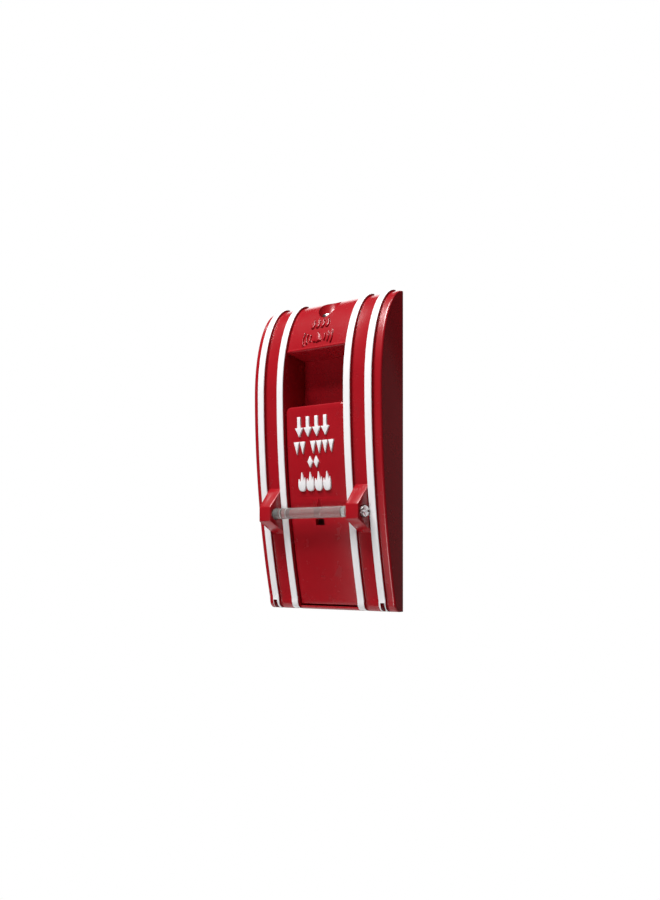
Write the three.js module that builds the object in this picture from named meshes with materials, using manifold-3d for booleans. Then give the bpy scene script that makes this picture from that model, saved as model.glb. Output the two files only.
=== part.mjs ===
// A wall-mounted manual fire call point: a cast front cover with four raised ribs, a pull handle
// hinged at its foot, a glass break rod across the handle, and a toggle switch that the handle throws.
//
// Millimetres, +Z up, +X to the right as seen from the front. The wall face is Y = 0 and the front
// looks along -Y. Side-view outlines are drawn as (forward, z), where forward = -Y.

import * as THREE from "three";
import { mergeVertices } from "three/addons/utils/BufferGeometryUtils.js";
import Module from "manifold-3d";

const wasm = await Module();
wasm.setup();

// ---------------------------------------------------------------- driving dimensions

const HALF_WIDTH = 35;
const TOP = 71;
const BOTTOM = -71;
const WALL = 1.8; // thickness of the casting
const GAP = 0.3; // clearance between neighbours

// The front sweeps down from a quarter ellipse at the top into one long shallow arc.
const CREST = 20.5; // how far the rib crests stand off the wall
const CREST_Z = 28; // height where they stand furthest
const SWEEP_RADIUS = 400;
const RIB_HEIGHT = 1.9;
const RIB_TOP_STEP = 1.0; // the ribs stand less proud where they run over the top
const COVER_REAR = 0.5; // the cover's rim clears the wall

const RIB_WIDTH = 3.5;
const INNER_RIB = 16.6; // inner edge of the two ribs that flank the handle
const OUTER_RIB = 27.7; // inner edge of the two outer ribs
const CHEEK = 1.8; // walls that flank the handle, behind the inner ribs

const BROW_Z = 46.2; // lower edge of the brow above the finger pocket
const POCKET_REAR = 3.4;
const POCKET_FLOOR = 5.2;
const LIP_Z = -69.4; // top of the foot under the handle, level with the cavity's floor

const HANDLE_TOP = 20.8;
const HANDLE_BOTTOM = -68.6;
const HANDLE_HALF = INNER_RIB - 0.4;
const HANDLE_INSET = RIB_HEIGHT + 0.15;
const HANDLE_PLATE = 2.2;
const HANDLE_FLANGE = 3.4; // depth of its stiffening flanges
const PIVOT = { forward: 4.4, z: -63.6 };
const PIVOT_PIN_R = 1.25;
const BARREL_HALF = 13;

const ROD = { forward: 19.8, z: -27.3, radius: 2.5 };
const ROD_LEFT = -26;
const ROD_RIGHT = 25.2;
const BOSS_TOP = -15;
const BOSS_FOOT = -36.2;

const HINGE = { forward: 4.2, z: -69.2, pin: 0.8 };
const EAR_X = 29.75;
const EAR = 1.2;
const HINGE_TOP = -67.2; // top of the blocks that carry the hinge pins

const PLATE = 1.6;
const PLATE_HALF = 31;
const PLATE_TOP = 57;
const PLATE_BOTTOM = -62;
const WINDOW = { half: 16.2, bottom: -58.5, top: -1.2 };
const WALL_SCREW = { x: 23, z: 41.65, hole: 2.2, seat: 3.8, rise: 0.5 };
const GROUND = { x: 24.5, z: 16 };

const LOCK = { forward: 7.2, floor: 60.5, bowl: 4.2, bowlTop: 6.0, shank: 1.5 };

const SWITCH = { forward: 1.6, shelf: -35, bushing: 3.0, lever: -42, reach: 12, rest: -14 };
const BLOCK = { bottom: -12.5, top: -3, rear: -3.2, front: 5.2, half: 10.2 };
const SCREW_R = 1.2;
const FINE = 24; // sides of a large round
const COARSE = 14; // sides of a small round

// ---------------------------------------------------------------- materials

const paint = (color, roughness, metalness) =>
  new THREE.MeshStandardMaterial({ color, roughness, metalness });
const redEnamel = paint(0xb0182a, 0.28, 0.0);
const zincSteel = paint(0xb9bcc0, 0.42, 1.0);
const brightSteel = paint(0xd2d4d8, 0.22, 1.0);
const springSteel = paint(0x85888c, 0.3, 1.0);
const brass = paint(0xc9a24a, 0.3, 1.0);
const blackPlastic = paint(0x1b1b1d, 0.5, 0.0);
const phenolic = paint(0x3b2a1f, 0.55, 0.0);
const glass = paint(0xe6efec, 0.05, 0.0);
const redWire = paint(0xa8202a, 0.45, 0.0);
const blackWire = paint(0x151515, 0.45, 0.0);
const greenSteel = paint(0x2f7d3c, 0.4, 0.6);

// ---------------------------------------------------------------- shape helpers

/** A closed geometry as a manifold solid. */
function solid(geometry) {
  const bare = geometry.clone();
  for (const name of Object.keys(bare.attributes)) {
    if (name !== "position") bare.deleteAttribute(name);
  }
  const merged = mergeVertices(bare, 1e-4);
  return new wasm.Manifold(
    new wasm.Mesh({
      numProp: 3,
      vertProperties: merged.attributes.position.array,
      triVerts: new Uint32Array(merged.index.array),
    }),
  );
}

/** A manifold solid as a named mesh. */
function part(name, shape, material) {
  const made = shape.getMesh();
  const geometry = new THREE.BufferGeometry();
  geometry.setAttribute("position", new THREE.BufferAttribute(made.vertProperties, 3));
  geometry.setIndex(new THREE.BufferAttribute(made.triVerts, 1));
  geometry.computeVertexNormals();
  const mesh = new THREE.Mesh(geometry, material);
  mesh.name = name;
  return mesh;
}

/** A block between limits given as [low, high] along X, forward (-Y) and Z. */
function block([x0, x1], [f0, f1], [z0, z1]) {
  const geometry = new THREE.BoxGeometry(x1 - x0, f1 - f0, z1 - z0);
  return solid(geometry.translate((x0 + x1) / 2, -(f0 + f1) / 2, (z0 + z1) / 2));
}

/** A (forward, z) outline extruded along X from x0 to x1. */
function extrudeX(shape, x0, x1, curveSegments = 11) {
  const geometry = new THREE.ExtrudeGeometry(shape, {
    depth: x1 - x0,
    bevelEnabled: false,
    curveSegments,
  });
  const turn = new THREE.Matrix4().set(0, 0, -1, x1, -1, 0, 0, 0, 0, 1, 0, 0, 0, 0, 0, 1);
  return solid(geometry.applyMatrix4(turn));
}

/** A polygon outline from [forward, z] pairs. */
const outline = (...points) => new THREE.Shape(points.map(([f, z]) => new THREE.Vector2(f, z)));

/** A round bar along X, through (forward, z). */
function barX(radius, x0, x1, forward, z, sides = COARSE) {
  const bar = new THREE.CylinderGeometry(radius, radius, x1 - x0, sides);
  return solid(bar.rotateZ(Math.PI / 2).translate((x0 + x1) / 2, -forward, z));
}

/** A round bar along the depth, from forward f0 to f1, through (x, z). */
function barY(radius, f0, f1, x, z, sides = COARSE) {
  const bar = new THREE.CylinderGeometry(radius, radius, f1 - f0, sides);
  return solid(bar.translate(x, -(f0 + f1) / 2, z));
}

/** A round bar or cone along Z, through (x, forward). */
function barZ(lowRadius, highRadius, z0, z1, x, forward, sides = COARSE) {
  const bar = new THREE.CylinderGeometry(highRadius, lowRadius, z1 - z0, sides);
  return solid(bar.rotateX(Math.PI / 2).translate(x, -forward, (z0 + z1) / 2));
}

/** A wire of round section along a smooth curve through the points. */
function wire(points, radius, steps, closedEnds = 8) {
  const section = new THREE.Shape();
  for (let i = 0; i < closedEnds; i++) {
    const a = (2 * Math.PI * i) / closedEnds;
    const point = [radius * Math.cos(a), radius * Math.sin(a)];
    if (i) section.lineTo(...point);
    else section.moveTo(...point);
  }
  const path = new THREE.CatmullRomCurve3(points, false, "centripetal");
  return solid(new THREE.ExtrudeGeometry(section, { steps, extrudePath: path }));
}

const at = (x, forward, z) => new THREE.Vector3(x, -forward, z);
const mirrored = (shape) => shape.mirror([1, 0, 0]);
const both = (shape) => shape.add(mirrored(shape));

/** The sweep's forward distance at height z, inset from the rib crests. */
function sweep(z, inset) {
  return CREST - inset - SWEEP_RADIUS + Math.sqrt(SWEEP_RADIUS ** 2 - (CREST_Z - z) ** 2);
}

/** The side outline of the casting, inset from the rib crests, closed along the rear. */
function sideOutline(inset, topInset, rear, bottom, foot) {
  const shape = new THREE.Shape();
  const reach = CREST - inset;
  const end = -Math.asin((CREST_Z - bottom) / SWEEP_RADIUS);
  shape.moveTo(rear, TOP - topInset);
  shape.absellipse(0, CREST_Z, reach, TOP - topInset - CREST_Z, Math.PI / 2, 0, true);
  shape.absarc(reach - SWEEP_RADIUS, CREST_Z, SWEEP_RADIUS, 0, end, true);
  if (foot) shape.quadraticCurveTo(sweep(bottom, inset), foot[1], foot[0], foot[1]);
  shape.lineTo(rear, foot ? foot[1] : bottom);
  return shape;
}

/** A band that follows the sweep between two heights, thick as asked. */
function sweepBand(inset, thickness, z0, z1) {
  const shape = new THREE.Shape();
  const centre = CREST - inset - SWEEP_RADIUS;
  const from = -Math.asin((CREST_Z - z1) / SWEEP_RADIUS);
  const to = -Math.asin((CREST_Z - z0) / SWEEP_RADIUS);
  shape.absarc(centre, CREST_Z, SWEEP_RADIUS, from, to, true);
  shape.absarc(centre, CREST_Z, SWEEP_RADIUS - thickness, to, from, false);
  return shape;
}

// ---------------------------------------------------------------- the front cover

/** The four ribs, which stand proud of the casting from the top edge to the foot. */
function ribs() {
  const side = sideOutline(0, 0, COVER_REAR, BOTTOM + 3, [6, BOTTOM + 0.3]);
  const inner = extrudeX(side, INNER_RIB, INNER_RIB + RIB_WIDTH);
  const outer = extrudeX(side, OUTER_RIB, OUTER_RIB + RIB_WIDTH);
  return both(inner.add(outer));
}

/** The open-backed shell, with the ribs on it and the slot for the handle cut out. */
function shell() {
  const side = sideOutline(RIB_HEIGHT, RIB_TOP_STEP, COVER_REAR, BOTTOM + 5, [3.5, BOTTOM]);
  const inset = RIB_HEIGHT + WALL;
  const room = sideOutline(inset, RIB_TOP_STEP + WALL, -1, BOTTOM + 6, [3, BOTTOM + 1.6]);
  const cavity = extrudeX(room, WALL - HALF_WIDTH, HALF_WIDTH - WALL);
  const slot = block([-INNER_RIB, INNER_RIB], [-1, CREST + 5], [LIP_Z, BROW_Z]);
  return extrudeX(side, -HALF_WIDTH, HALF_WIDTH).add(ribs()).subtract(cavity).subtract(slot);
}

/** Everything inside the valley-level outline, used to trim what is added behind it. */
function envelope() {
  const inset = RIB_HEIGHT + 0.4;
  const side = sideOutline(inset, RIB_TOP_STEP + 0.4, COVER_REAR, BOTTOM + 5, [3.5, BOTTOM]);
  return extrudeX(side, -HALF_WIDTH + 0.4, HALF_WIDTH - 0.4);
}

/** The cheeks beside the handle, and the finger pocket's rear wall, floor and sloping ceiling. */
function pocket() {
  const rear = POCKET_REAR - 1.2;
  const outer = INNER_RIB + CHEEK;
  const cheeks = both(block([INNER_RIB, outer], [rear, CREST], [LIP_Z - 1, BROW_Z + 1.6]));
  const back = block([-outer, outer], [rear, POCKET_REAR], [POCKET_FLOOR - 1.6, BROW_Z]);
  const floor = block([-outer, outer], [rear, 12.6], [POCKET_FLOOR - 1.6, POCKET_FLOOR]);
  const ceiling = extrudeX(
    outline([rear, BROW_Z - 2.3], [CREST, BROW_Z + 0.2], [CREST, BROW_Z + 1.9], [rear, BROW_Z]),
    -outer,
    outer,
  );
  return cheeks.add(back).add(floor).add(ceiling).intersect(envelope());
}

/** The low rear wall behind the handle's barrel, which closes the foot of the case. */
function footWall() {
  const outer = INNER_RIB + CHEEK;
  return block([-outer, outer], [COVER_REAR, COVER_REAR + 0.8], [BOTTOM + 1, -63.2]);
}

/** One lug that takes a screw from behind, on the inside of a cheek. */
function lug(z0, z1) {
  const pad = block([11.2, INNER_RIB + 0.4], [4.5, 8.4], [z0, z1]);
  return pad.subtract(barY(SCREW_R + GAP, 4, 8, 13, (z0 + z1) / 2));
}

/** The wedge-shaped holders for the glass rod, in the valleys between the ribs. */
function rodBosses() {
  const side = outline(
    [14, BOSS_TOP],
    [sweep(BOSS_TOP, RIB_HEIGHT), BOSS_TOP],
    [23.6, -24.2],
    [23.6, -30.7],
    [sweep(BOSS_FOOT, RIB_HEIGHT), BOSS_FOOT],
    [12, BOSS_FOOT],
  );
  return both(extrudeX(side, INNER_RIB + RIB_WIDTH, OUTER_RIB));
}

/** The bowl in the top edge that gives a key access to the lock screw. */
function lockBowl() {
  const { forward, floor, bowl, bowlTop } = LOCK;
  const wall = barZ(bowl + 1.4, bowlTop + 1.4, floor - 1.6, TOP, 0, forward, FINE);
  return wall.intersect(envelope());
}

function lockBowlCut() {
  const { forward, floor, bowl, bowlTop, shank } = LOCK;
  const hollow = barZ(bowl, bowlTop, floor, TOP + 0.5, 0, forward, FINE);
  return hollow.add(barZ(shank + GAP, shank + GAP, floor - 2, floor + 1, 0, forward));
}

/** The blocks in the lower corners that carry the hinge pins, slotted for the plate's ears. */
function hingeBlocks() {
  const room = block([27.2, 32.6], [2.2, 7.6], [BOTTOM, HINGE_TOP]);
  return both(room).intersect(envelope());
}

function hingeCuts() {
  const slot = block([EAR_X - 1.05, EAR_X + 1.05], [-1, 12], [BOTTOM - 1, HINGE_TOP + 0.2]);
  const bore = barX(HINGE.pin + GAP, 27.5, 32.3, HINGE.forward, HINGE.z);
  return both(slot.add(bore));
}

function frontCover() {
  const bore = ROD.radius + GAP;
  const rodBore = barX(bore, ROD_LEFT - 0.4, OUTER_RIB + 1, ROD.forward, ROD.z, FINE);
  const pinBore = barX(PIVOT_PIN_R + 0.35, -21, 21, PIVOT.forward, PIVOT.z);
  const clipRoom = both(barX(3.1, INNER_RIB + CHEEK, 20.0, PIVOT.forward, PIVOT.z));
  const shape = shell()
    .add(pocket())
    .add(footWall())
    .add(both(lug(-40.5, -31.5).add(lug(-11, -4.5))))
    .add(rodBosses())
    .add(lockBowl())
    .add(hingeBlocks())
    .subtract(lockBowlCut())
    .subtract(hingeCuts())
    .subtract(rodBore)
    .subtract(pinBore)
    .subtract(clipRoom);
  return part("front_cover", shape, redEnamel);
}

// ---------------------------------------------------------------- the pull handle

const ARM_BOTTOM = -55.2;
const ARM_TOP = -47.4;
const ARM_SEAT = sweep(ARM_BOTTOM, HANDLE_INSET) - HANDLE_PLATE; // rear face of the pad that it sits on
const ARM_REACH = -4.4;
const ARM_HOLE = [-3.3, 1.5];
const ARM_SCREW_X = 4.6;
const ARM_SCREW_Z = -50.8;

/** The ridge on the handle that the rod snaps over, with the core slot under it. */
function striker() {
  const crest = ROD.forward - ROD.radius - GAP;
  const ridge = new THREE.BufferGeometry();
  const foot = -29.6;
  const half = 3.2;
  const sunk = 1.2;
  const tip = -18;
  const low = sweep(foot, HANDLE_INSET) - sunk;
  const high = sweep(tip, HANDLE_INSET) - sunk;
  const corners = [
    at(-half, low, foot),
    at(half, low, foot),
    at(0, crest, foot),
    at(0, crest, -24),
    at(-0.4, high, tip),
    at(0.4, high, tip),
  ];
  const faces = [0, 1, 2, 0, 2, 3, 0, 3, 4, 1, 3, 2, 1, 5, 3, 3, 5, 4, 0, 4, 5, 0, 5, 1];
  const position = new Float32Array(corners.flatMap((c) => c.toArray()));
  ridge.setAttribute("position", new THREE.BufferAttribute(position, 3));
  ridge.setIndex(faces);
  return solid(ridge);
}

function pullHandle() {
  const plate = extrudeX(
    sweepBand(HANDLE_INSET, HANDLE_PLATE, HANDLE_BOTTOM, HANDLE_TOP),
    -HANDLE_HALF,
    HANDLE_HALF,
  );
  const flange = extrudeX(
    sweepBand(HANDLE_INSET, HANDLE_FLANGE, -58, HANDLE_TOP),
    HANDLE_HALF - 1.5,
    HANDLE_HALF,
  );
  const grip = block([-HANDLE_HALF, HANDLE_HALF], [11.5, 17], [HANDLE_TOP - 2.4, HANDLE_TOP - 0.2]);
  const barrel = barX(2.8, -BARREL_HALF, BARREL_HALF, PIVOT.forward, PIVOT.z, FINE);
  const bore = barX(PIVOT_PIN_R + 0.35, -20, 20, PIVOT.forward, PIVOT.z);
  const slot = block([-2.2, 2.2], [8, 20], [-32.4, -29.9]);
  const springRoom = barX(2.5, -17, -BARREL_HALF - GAP, PIVOT.forward, PIVOT.z, FINE);
  const pad = block([-8, 8], [ARM_SEAT, ARM_SEAT + 2], [ARM_BOTTOM - 0.2, ARM_TOP + 0.2]);
  const shape = plate
    .add(both(flange))
    .add(grip)
    .add(barrel)
    .add(pad)
    .add(striker())
    .subtract(bore)
    .subtract(slot)
    .subtract(both(springRoom))
    .subtract(both(barY(SCREW_R + GAP, 5, ARM_SEAT + 2.5, ARM_SCREW_X, ARM_SCREW_Z)));
  return part("pull_handle", shape, redEnamel);
}

/** The bent steel arm behind the handle; the toggle's tip stands in the hole of its shelf. */
function actuatorArm() {
  const seat = ARM_SEAT - GAP;
  const leg = block([-7.5, 7.5], [seat - 1.2, seat], [ARM_BOTTOM, ARM_TOP]);
  const shelf = block([-5, 5], [ARM_REACH, seat - 0.4], [ARM_BOTTOM, ARM_BOTTOM + 1.2]);
  const hole = block([-1.75, 1.75], ARM_HOLE, [ARM_BOTTOM - 1, ARM_BOTTOM + 2]);
  const screwHoles = both(barY(SCREW_R + GAP, 0, 12, ARM_SCREW_X, ARM_SCREW_Z));
  return part("actuator_arm", leg.add(shelf).subtract(hole).subtract(screwHoles), zincSteel);
}

// ---------------------------------------------------------------- pivot, clips and spring

function pivotPin() {
  const { forward, z } = PIVOT;
  const neck = [18.7, 19.6];
  let pin = barX(PIVOT_PIN_R, -20.4, 20.4, forward, z);
  for (const side of [-1, 1]) {
    const [a, b] = side > 0 ? neck : [-neck[1], -neck[0]];
    const ring = barX(2.2, a, b, forward, z).subtract(barX(0.85, a - 1, b + 1, forward, z));
    pin = pin.subtract(ring);
  }
  return part("handle_pivot_pin", pin, brightSteel);
}

/** A snap clip in the pin's groove: a ring with an open mouth. */
function pinClip(name, side) {
  const { forward, z } = PIVOT;
  const [a, b] = side > 0 ? [19.0, 19.4] : [-19.4, -19.0];
  const mouth = block([a - 1, b + 1], [forward - 0.8, forward + 0.8], [z, z + 4]);
  const ring = barX(2.8, a, b, forward, z).subtract(barX(1.15, a - 1, b + 1, forward, z));
  return part(name, ring.subtract(mouth), springSteel);
}

/** The torsion spring beside the barrel: its long leg bears on the handle, its short one on the foot wall. */
function handleSpring() {
  const turns = 2;
  const perTurn = 12;
  const coil = 1.85;
  const wireRadius = 0.3;
  const from = -13.75;
  const pitch = 0.85;
  const points = [at(from, 6.6, -53.2), at(from, 4.6, -57.5)];
  for (let i = 0; i <= turns * perTurn; i++) {
    const a = (2 * Math.PI * i) / perTurn;
    const forward = PIVOT.forward - coil * Math.cos(a);
    points.push(at(from - (pitch * i) / perTurn, forward, PIVOT.z - coil * Math.sin(a)));
  }
  points.push(at(from - pitch * turns, PIVOT.forward - coil - 0.2, PIVOT.z - 1.4));
  points.push(at(from - pitch * turns, PIVOT.forward - coil - 0.6, PIVOT.z - 2.7));
  return part("handle_spring", wire(points, wireRadius, 64, 6), springSteel);
}

// ---------------------------------------------------------------- glass rod and its screw

function rodPiece(name, x0, x1) {
  return part(name, barX(ROD.radius, x0, x1, ROD.forward, ROD.z, FINE), glass);
}

function rodRetainer() {
  const plug = barX(ROD.radius, ROD_RIGHT + GAP, 28.3, ROD.forward, ROD.z, FINE);
  const slot = block([27.5, 29], [ROD.forward - 3, ROD.forward + 3], [ROD.z - 0.45, ROD.z + 0.45]);
  return part("rod_retainer_screw", plug.subtract(slot), brightSteel);
}

// ---------------------------------------------------------------- wall plate and cover hinge

/** One ear of the plate, with the eye that the cover's hinge pin turns in. */
function ear() {
  const { forward, z, pin } = HINGE;
  const arm = extrudeX(
    outline([0, -57], [PLATE, -57], [4.4, -66.5], [6, -68.2], [3.4, -70.4], [0.3, -64.5], [0, -63]),
    EAR_X - EAR / 2,
    EAR_X + EAR / 2,
  );
  const eye = barX(1.8, EAR_X - EAR / 2, EAR_X + EAR / 2, forward, z, FINE);
  const bore = barX(pin + GAP, EAR_X - EAR, EAR_X + EAR, forward, z);
  return arm.add(eye).subtract(bore);
}

function mountingPlate() {
  const { forward, shank } = LOCK;
  const sheet = block([-PLATE_HALF, PLATE_HALF], [0, PLATE], [PLATE_BOTTOM, PLATE_TOP]);
  const hole = block([-WINDOW.half, WINDOW.half], [-1, 3], [WINDOW.bottom, WINDOW.top]);
  const keeper = block([-7, 7], [0, 10.5], [PLATE_TOP - PLATE, PLATE_TOP]);
  const slotHalf = shank + 0.4;
  const slot = block([-slotHalf, slotHalf], [forward, 12], [PLATE_TOP - 3, PLATE_TOP + 1]).add(
    barZ(slotHalf, slotHalf, PLATE_TOP - 3, PLATE_TOP + 1, 0, forward),
  );
  const { x, z, hole: holeRadius, seat, rise } = WALL_SCREW;
  const seats = barY(seat, 0.5, PLATE + rise, x, z).add(barY(seat, 0.5, PLATE + rise, x, -z));
  const wallHoles = barY(holeRadius, -1, 4, x, z).add(barY(holeRadius, -1, 4, x, -z));
  const groundHole = barY(SCREW_R + GAP, -1, 3, GROUND.x, GROUND.z);
  const shape = sheet
    .add(keeper)
    .add(both(seats))
    .add(both(ear()))
    .subtract(hole)
    .subtract(slot)
    .subtract(both(wallHoles))
    .subtract(groundHole);
  return part("mounting_plate", shape, zincSteel);
}

function hingePin(name, side) {
  const [a, b] = side > 0 ? [27.8, 32.0] : [-32.0, -27.8];
  return part(name, barX(HINGE.pin, a, b, HINGE.forward, HINGE.z), brightSteel);
}

// ---------------------------------------------------------------- fasteners

/** A pan-head screw driven from behind: its head lies at seat and its shank runs forward. */
function rearScrew(name, x, z, seat, length, material = zincSteel) {
  const headRadius = 2 * SCREW_R;
  const head = barY(headRadius, seat - 1.6, seat, x, z);
  const shank = barY(SCREW_R, seat - 0.4, seat + length, x, z);
  const slot = block([x - 3, x + 3], [seat - 2, seat - 1.1], [z - 0.3, z + 0.3]);
  return part(name, head.add(shank).subtract(slot), material);
}

function groundScrew() {
  const seat = PLATE + 1.4;
  const { x, z } = GROUND;
  const head = barY(2.6, seat, seat + 1.7, x, z);
  const shank = barY(SCREW_R, 0.1, seat + 0.4, x, z);
  const slot = block([x - 3.5, x + 3.5], [seat + 1.1, seat + 2], [z - 0.35, z + 0.35]);
  return part("ground_screw", head.add(shank).subtract(slot), greenSteel);
}

function groundWasher() {
  const { x, z } = GROUND;
  const ring = barY(3.2, PLATE + GAP, PLATE + 1.1, x, z);
  return part("ground_washer", ring.subtract(barY(SCREW_R + GAP, 0, 5, x, z)), brass);
}

function hexagon(radius) {
  return (z0, z1, x, forward) => barZ(radius, radius, z0, z1, x, forward, 6);
}

function lockScrew() {
  const { forward, floor, shank } = LOCK;
  const head = barZ(3.2, 3.2, floor + GAP, floor + 2.7, 0, forward);
  const stem = barZ(shank, shank, 52.4, floor + 1, 0, forward);
  const socket = hexagon(1.6)(floor + 1.3, floor + 4, 0, forward);
  return part("lock_screw", head.add(stem).subtract(socket), brightSteel);
}

function lockNut() {
  const { forward, shank } = LOCK;
  const top = PLATE_TOP - PLATE - GAP;
  const body = block([-3, 3], [forward - 3, forward + 3], [top - 1.9, top]);
  const bore = barZ(shank + GAP, shank + GAP, top - 3, top + 1, 0, forward);
  return part("lock_nut", body.subtract(bore), brass);
}

// ---------------------------------------------------------------- toggle switch

function switchBracket() {
  const { forward, shelf, bushing } = SWITCH;
  const tray = block([-9.5, 9.5], [forward - 5.6, forward + 6.4], [shelf - 1.2, shelf]);
  const ears = both(block([8.3, 15.2], [3.0, 4.2], [-40.5, -31.5]));
  const hole = barZ(bushing + GAP, bushing + GAP, shelf - 3, shelf + 2, 0, forward);
  const screwHoles = both(barY(SCREW_R + GAP, 1, 6, 13, -36));
  const bodyRoom = block([-7.4, 7.4], [-8, 12], [shelf + 0.1, shelf + 20]);
  const shape = tray.add(ears).subtract(hole).subtract(screwHoles).subtract(bodyRoom);
  return part("switch_bracket", shape, zincSteel);
}

/** The switch's steel frame: threaded bushing, flange and two straps over the body. */
function switchFrame() {
  const { forward, shelf, bushing, lever } = SWITCH;
  const tube = barZ(bushing, bushing, lever - 1.2, shelf + 0.6, 0, forward);
  const flange = block([-6.7, 6.7], [forward - 6.2, forward + 6.2], [shelf + GAP, shelf + 1.1]);
  const strap = block([6.2, 6.7], [forward - 2.6, forward + 2.6], [shelf + GAP, shelf + 9]);
  const bore = barZ(2.5, 2.2, lever - 2, shelf + 2, 0, forward);
  return part("switch_frame", tube.add(flange).add(both(strap)).subtract(bore), brightSteel);
}

function switchBody() {
  const { forward, shelf } = SWITCH;
  const body = block([-5.9, 5.9], [forward - 6.2, forward + 6.2], [shelf + 1.4, shelf + 13.2]);
  return part("switch_body", body, phenolic);
}

function switchTerminal(name, offset) {
  const { forward, shelf } = SWITCH;
  const centre = forward + offset;
  const blade = block([-1.2, 1.2], [centre - 0.4, centre + 0.4], [shelf + 13.5, shelf + 19]);
  return part(name, blade.subtract(barY(0.6, centre - 1, centre + 1, 0, shelf + 17.4)), brass);
}

function switchWasher() {
  const { forward, shelf, bushing } = SWITCH;
  const ring = barZ(4.6, 4.6, shelf - 2.1, shelf - 1.5, 0, forward);
  const bore = barZ(bushing + GAP, bushing + GAP, shelf - 4, shelf, 0, forward);
  const split = block([-0.5, 0.5], [forward, forward + 6], [shelf - 3, shelf]);
  return part("switch_lock_washer", ring.subtract(bore).subtract(split), springSteel);
}

function switchNut() {
  const { forward, shelf, bushing } = SWITCH;
  const body = hexagon(5.0)(shelf - 4.2, shelf - 2.4, 0, forward);
  const bore = barZ(bushing + GAP, bushing + GAP, shelf - 5, shelf - 1, 0, forward);
  return part("switch_nut", body.subtract(bore), brass);
}

/** The bat lever, turned about the ball in the bushing's mouth to where it rests. */
function toggleLever() {
  const { forward, lever, reach, rest } = SWITCH;
  const profile = [
    [0, 1.7],
    [1.1, 1.3],
    [1.7, 0.3],
    [1.7, -0.4],
    [1.1, -1.4],
    [1.0, -3.5],
    [1.25, -reach],
    [0.95, -reach - 0.8],
    [0, -reach - 1.2],
  ].map(([radius, along]) => new THREE.Vector2(radius, along));
  const bat = new THREE.LatheGeometry(profile.reverse(), COARSE);
  bat.rotateX(Math.PI / 2);
  bat.rotateX(THREE.MathUtils.degToRad(-rest));
  return part("toggle_lever", solid(bat.translate(0, -forward, lever)), brightSteel);
}

// ---------------------------------------------------------------- terminal block and leads

const TERMINALS = [-7.5, -2.5, 2.5, 7.5];
const TERMINAL_Z = (BLOCK.bottom + BLOCK.top) / 2;

function terminalBlock() {
  const { bottom, top, rear, front, half } = BLOCK;
  let body = block([-half, half], [rear, front], [bottom, top]);
  body = body.add(block([-15.2, 15.2], [3.0, 4.2], [-11, -4.5]));
  for (const x of TERMINALS) {
    body = body
      .subtract(block([x - 2.1, x + 2.1], [rear - 1, rear + 1.4], [bottom - 1, top + 1]))
      .subtract(barY(1.2, rear - 1, rear + 4.6, x, TERMINAL_Z));
  }
  body = body.subtract(both(barY(SCREW_R + GAP, 1, 6, 13, TERMINAL_Z)));
  return part("terminal_block", body, blackPlastic);
}

function terminalClamp(name, x) {
  const { rear } = BLOCK;
  const span = [TERMINAL_Z - 2.2, TERMINAL_Z + 2.2];
  const plate = block([x - 1.8, x + 1.8], [rear + 0.4, rear + 1.1], span);
  return part(name, plate.subtract(barY(1.2, rear - 1, rear + 3, x, TERMINAL_Z)), brass);
}

function terminalScrew(name, x) {
  const { rear } = BLOCK;
  const head = barY(1.75, rear - 1.2, rear + 0.1, x, TERMINAL_Z);
  const shank = barY(0.9, rear, rear + 4.2, x, TERMINAL_Z, 12);
  const slot = block([x - 2, x + 2], [rear - 2, rear - 0.7], [TERMINAL_Z - 0.25, TERMINAL_Z + 0.25]);
  return part(name, head.add(shank).subtract(slot), brightSteel);
}

/** A short lead from a switch terminal round to the front of the terminal block. */
function lead(name, offset, side, material) {
  const { forward, shelf } = SWITCH;
  const end = shelf + 19 + 2 * GAP;
  const start = forward + offset;
  const points = [
    at(0, start, end),
    at(side * 0.4, start + 0.5, end + 1.4),
    at(side * 2.6, 7.4, end + 1.9),
    at(side * 4.8, 9.2, BLOCK.bottom + 2),
    at(side * 5.2, 8.2, TERMINAL_Z - 0.3),
    at(side * 5.2, BLOCK.front + GAP + 0.1, TERMINAL_Z),
  ];
  return part(name, wire(points, 0.65, 22), material);
}

// ---------------------------------------------------------------- assembly

const split = HANDLE_HALF + 0.1; // the rod parts just outside the handle's edges
const callPoint = new THREE.Group();
callPoint.name = "manual_call_point";

const wallGroup = new THREE.Group();
wallGroup.add(mountingPlate(), groundScrew(), groundWasher());

const coverGroup = new THREE.Group();
coverGroup.add(
  frontCover(),
  hingePin("cover_hinge_pin_left", -1),
  hingePin("cover_hinge_pin_right", 1),
  lockNut(),
  rodPiece("glass_rod_left", ROD_LEFT, -split - GAP),
  rodPiece("glass_rod_right", split + GAP, ROD_RIGHT),
  pivotPin(),
  pinClip("pin_clip_left", -1),
  pinClip("pin_clip_right", 1),
  handleSpring(),
  switchBracket(),
  rearScrew("bracket_screw_left", -13, -36, 2.7, 4.8),
  rearScrew("bracket_screw_right", 13, -36, 2.7, 4.8),
  switchFrame(),
  switchBody(),
  switchWasher(),
  switchNut(),
  switchTerminal("switch_terminal_rear", -4.2),
  switchTerminal("switch_terminal_middle", 0),
  switchTerminal("switch_terminal_front", 4.2),
  terminalBlock(),
  rearScrew("block_screw_left", -13, -7.75, 2.7, 4.8),
  rearScrew("block_screw_right", 13, -7.75, 2.7, 4.8),
  lead("switch_lead_red", 4.2, 1, redWire),
  lead("switch_lead_black", 0, -1, blackWire),
);
TERMINALS.forEach((x, i) => {
  coverGroup.add(terminalClamp(`terminal_clamp_${i + 1}`, x));
  coverGroup.add(terminalScrew(`terminal_screw_${i + 1}`, x));
});

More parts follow.
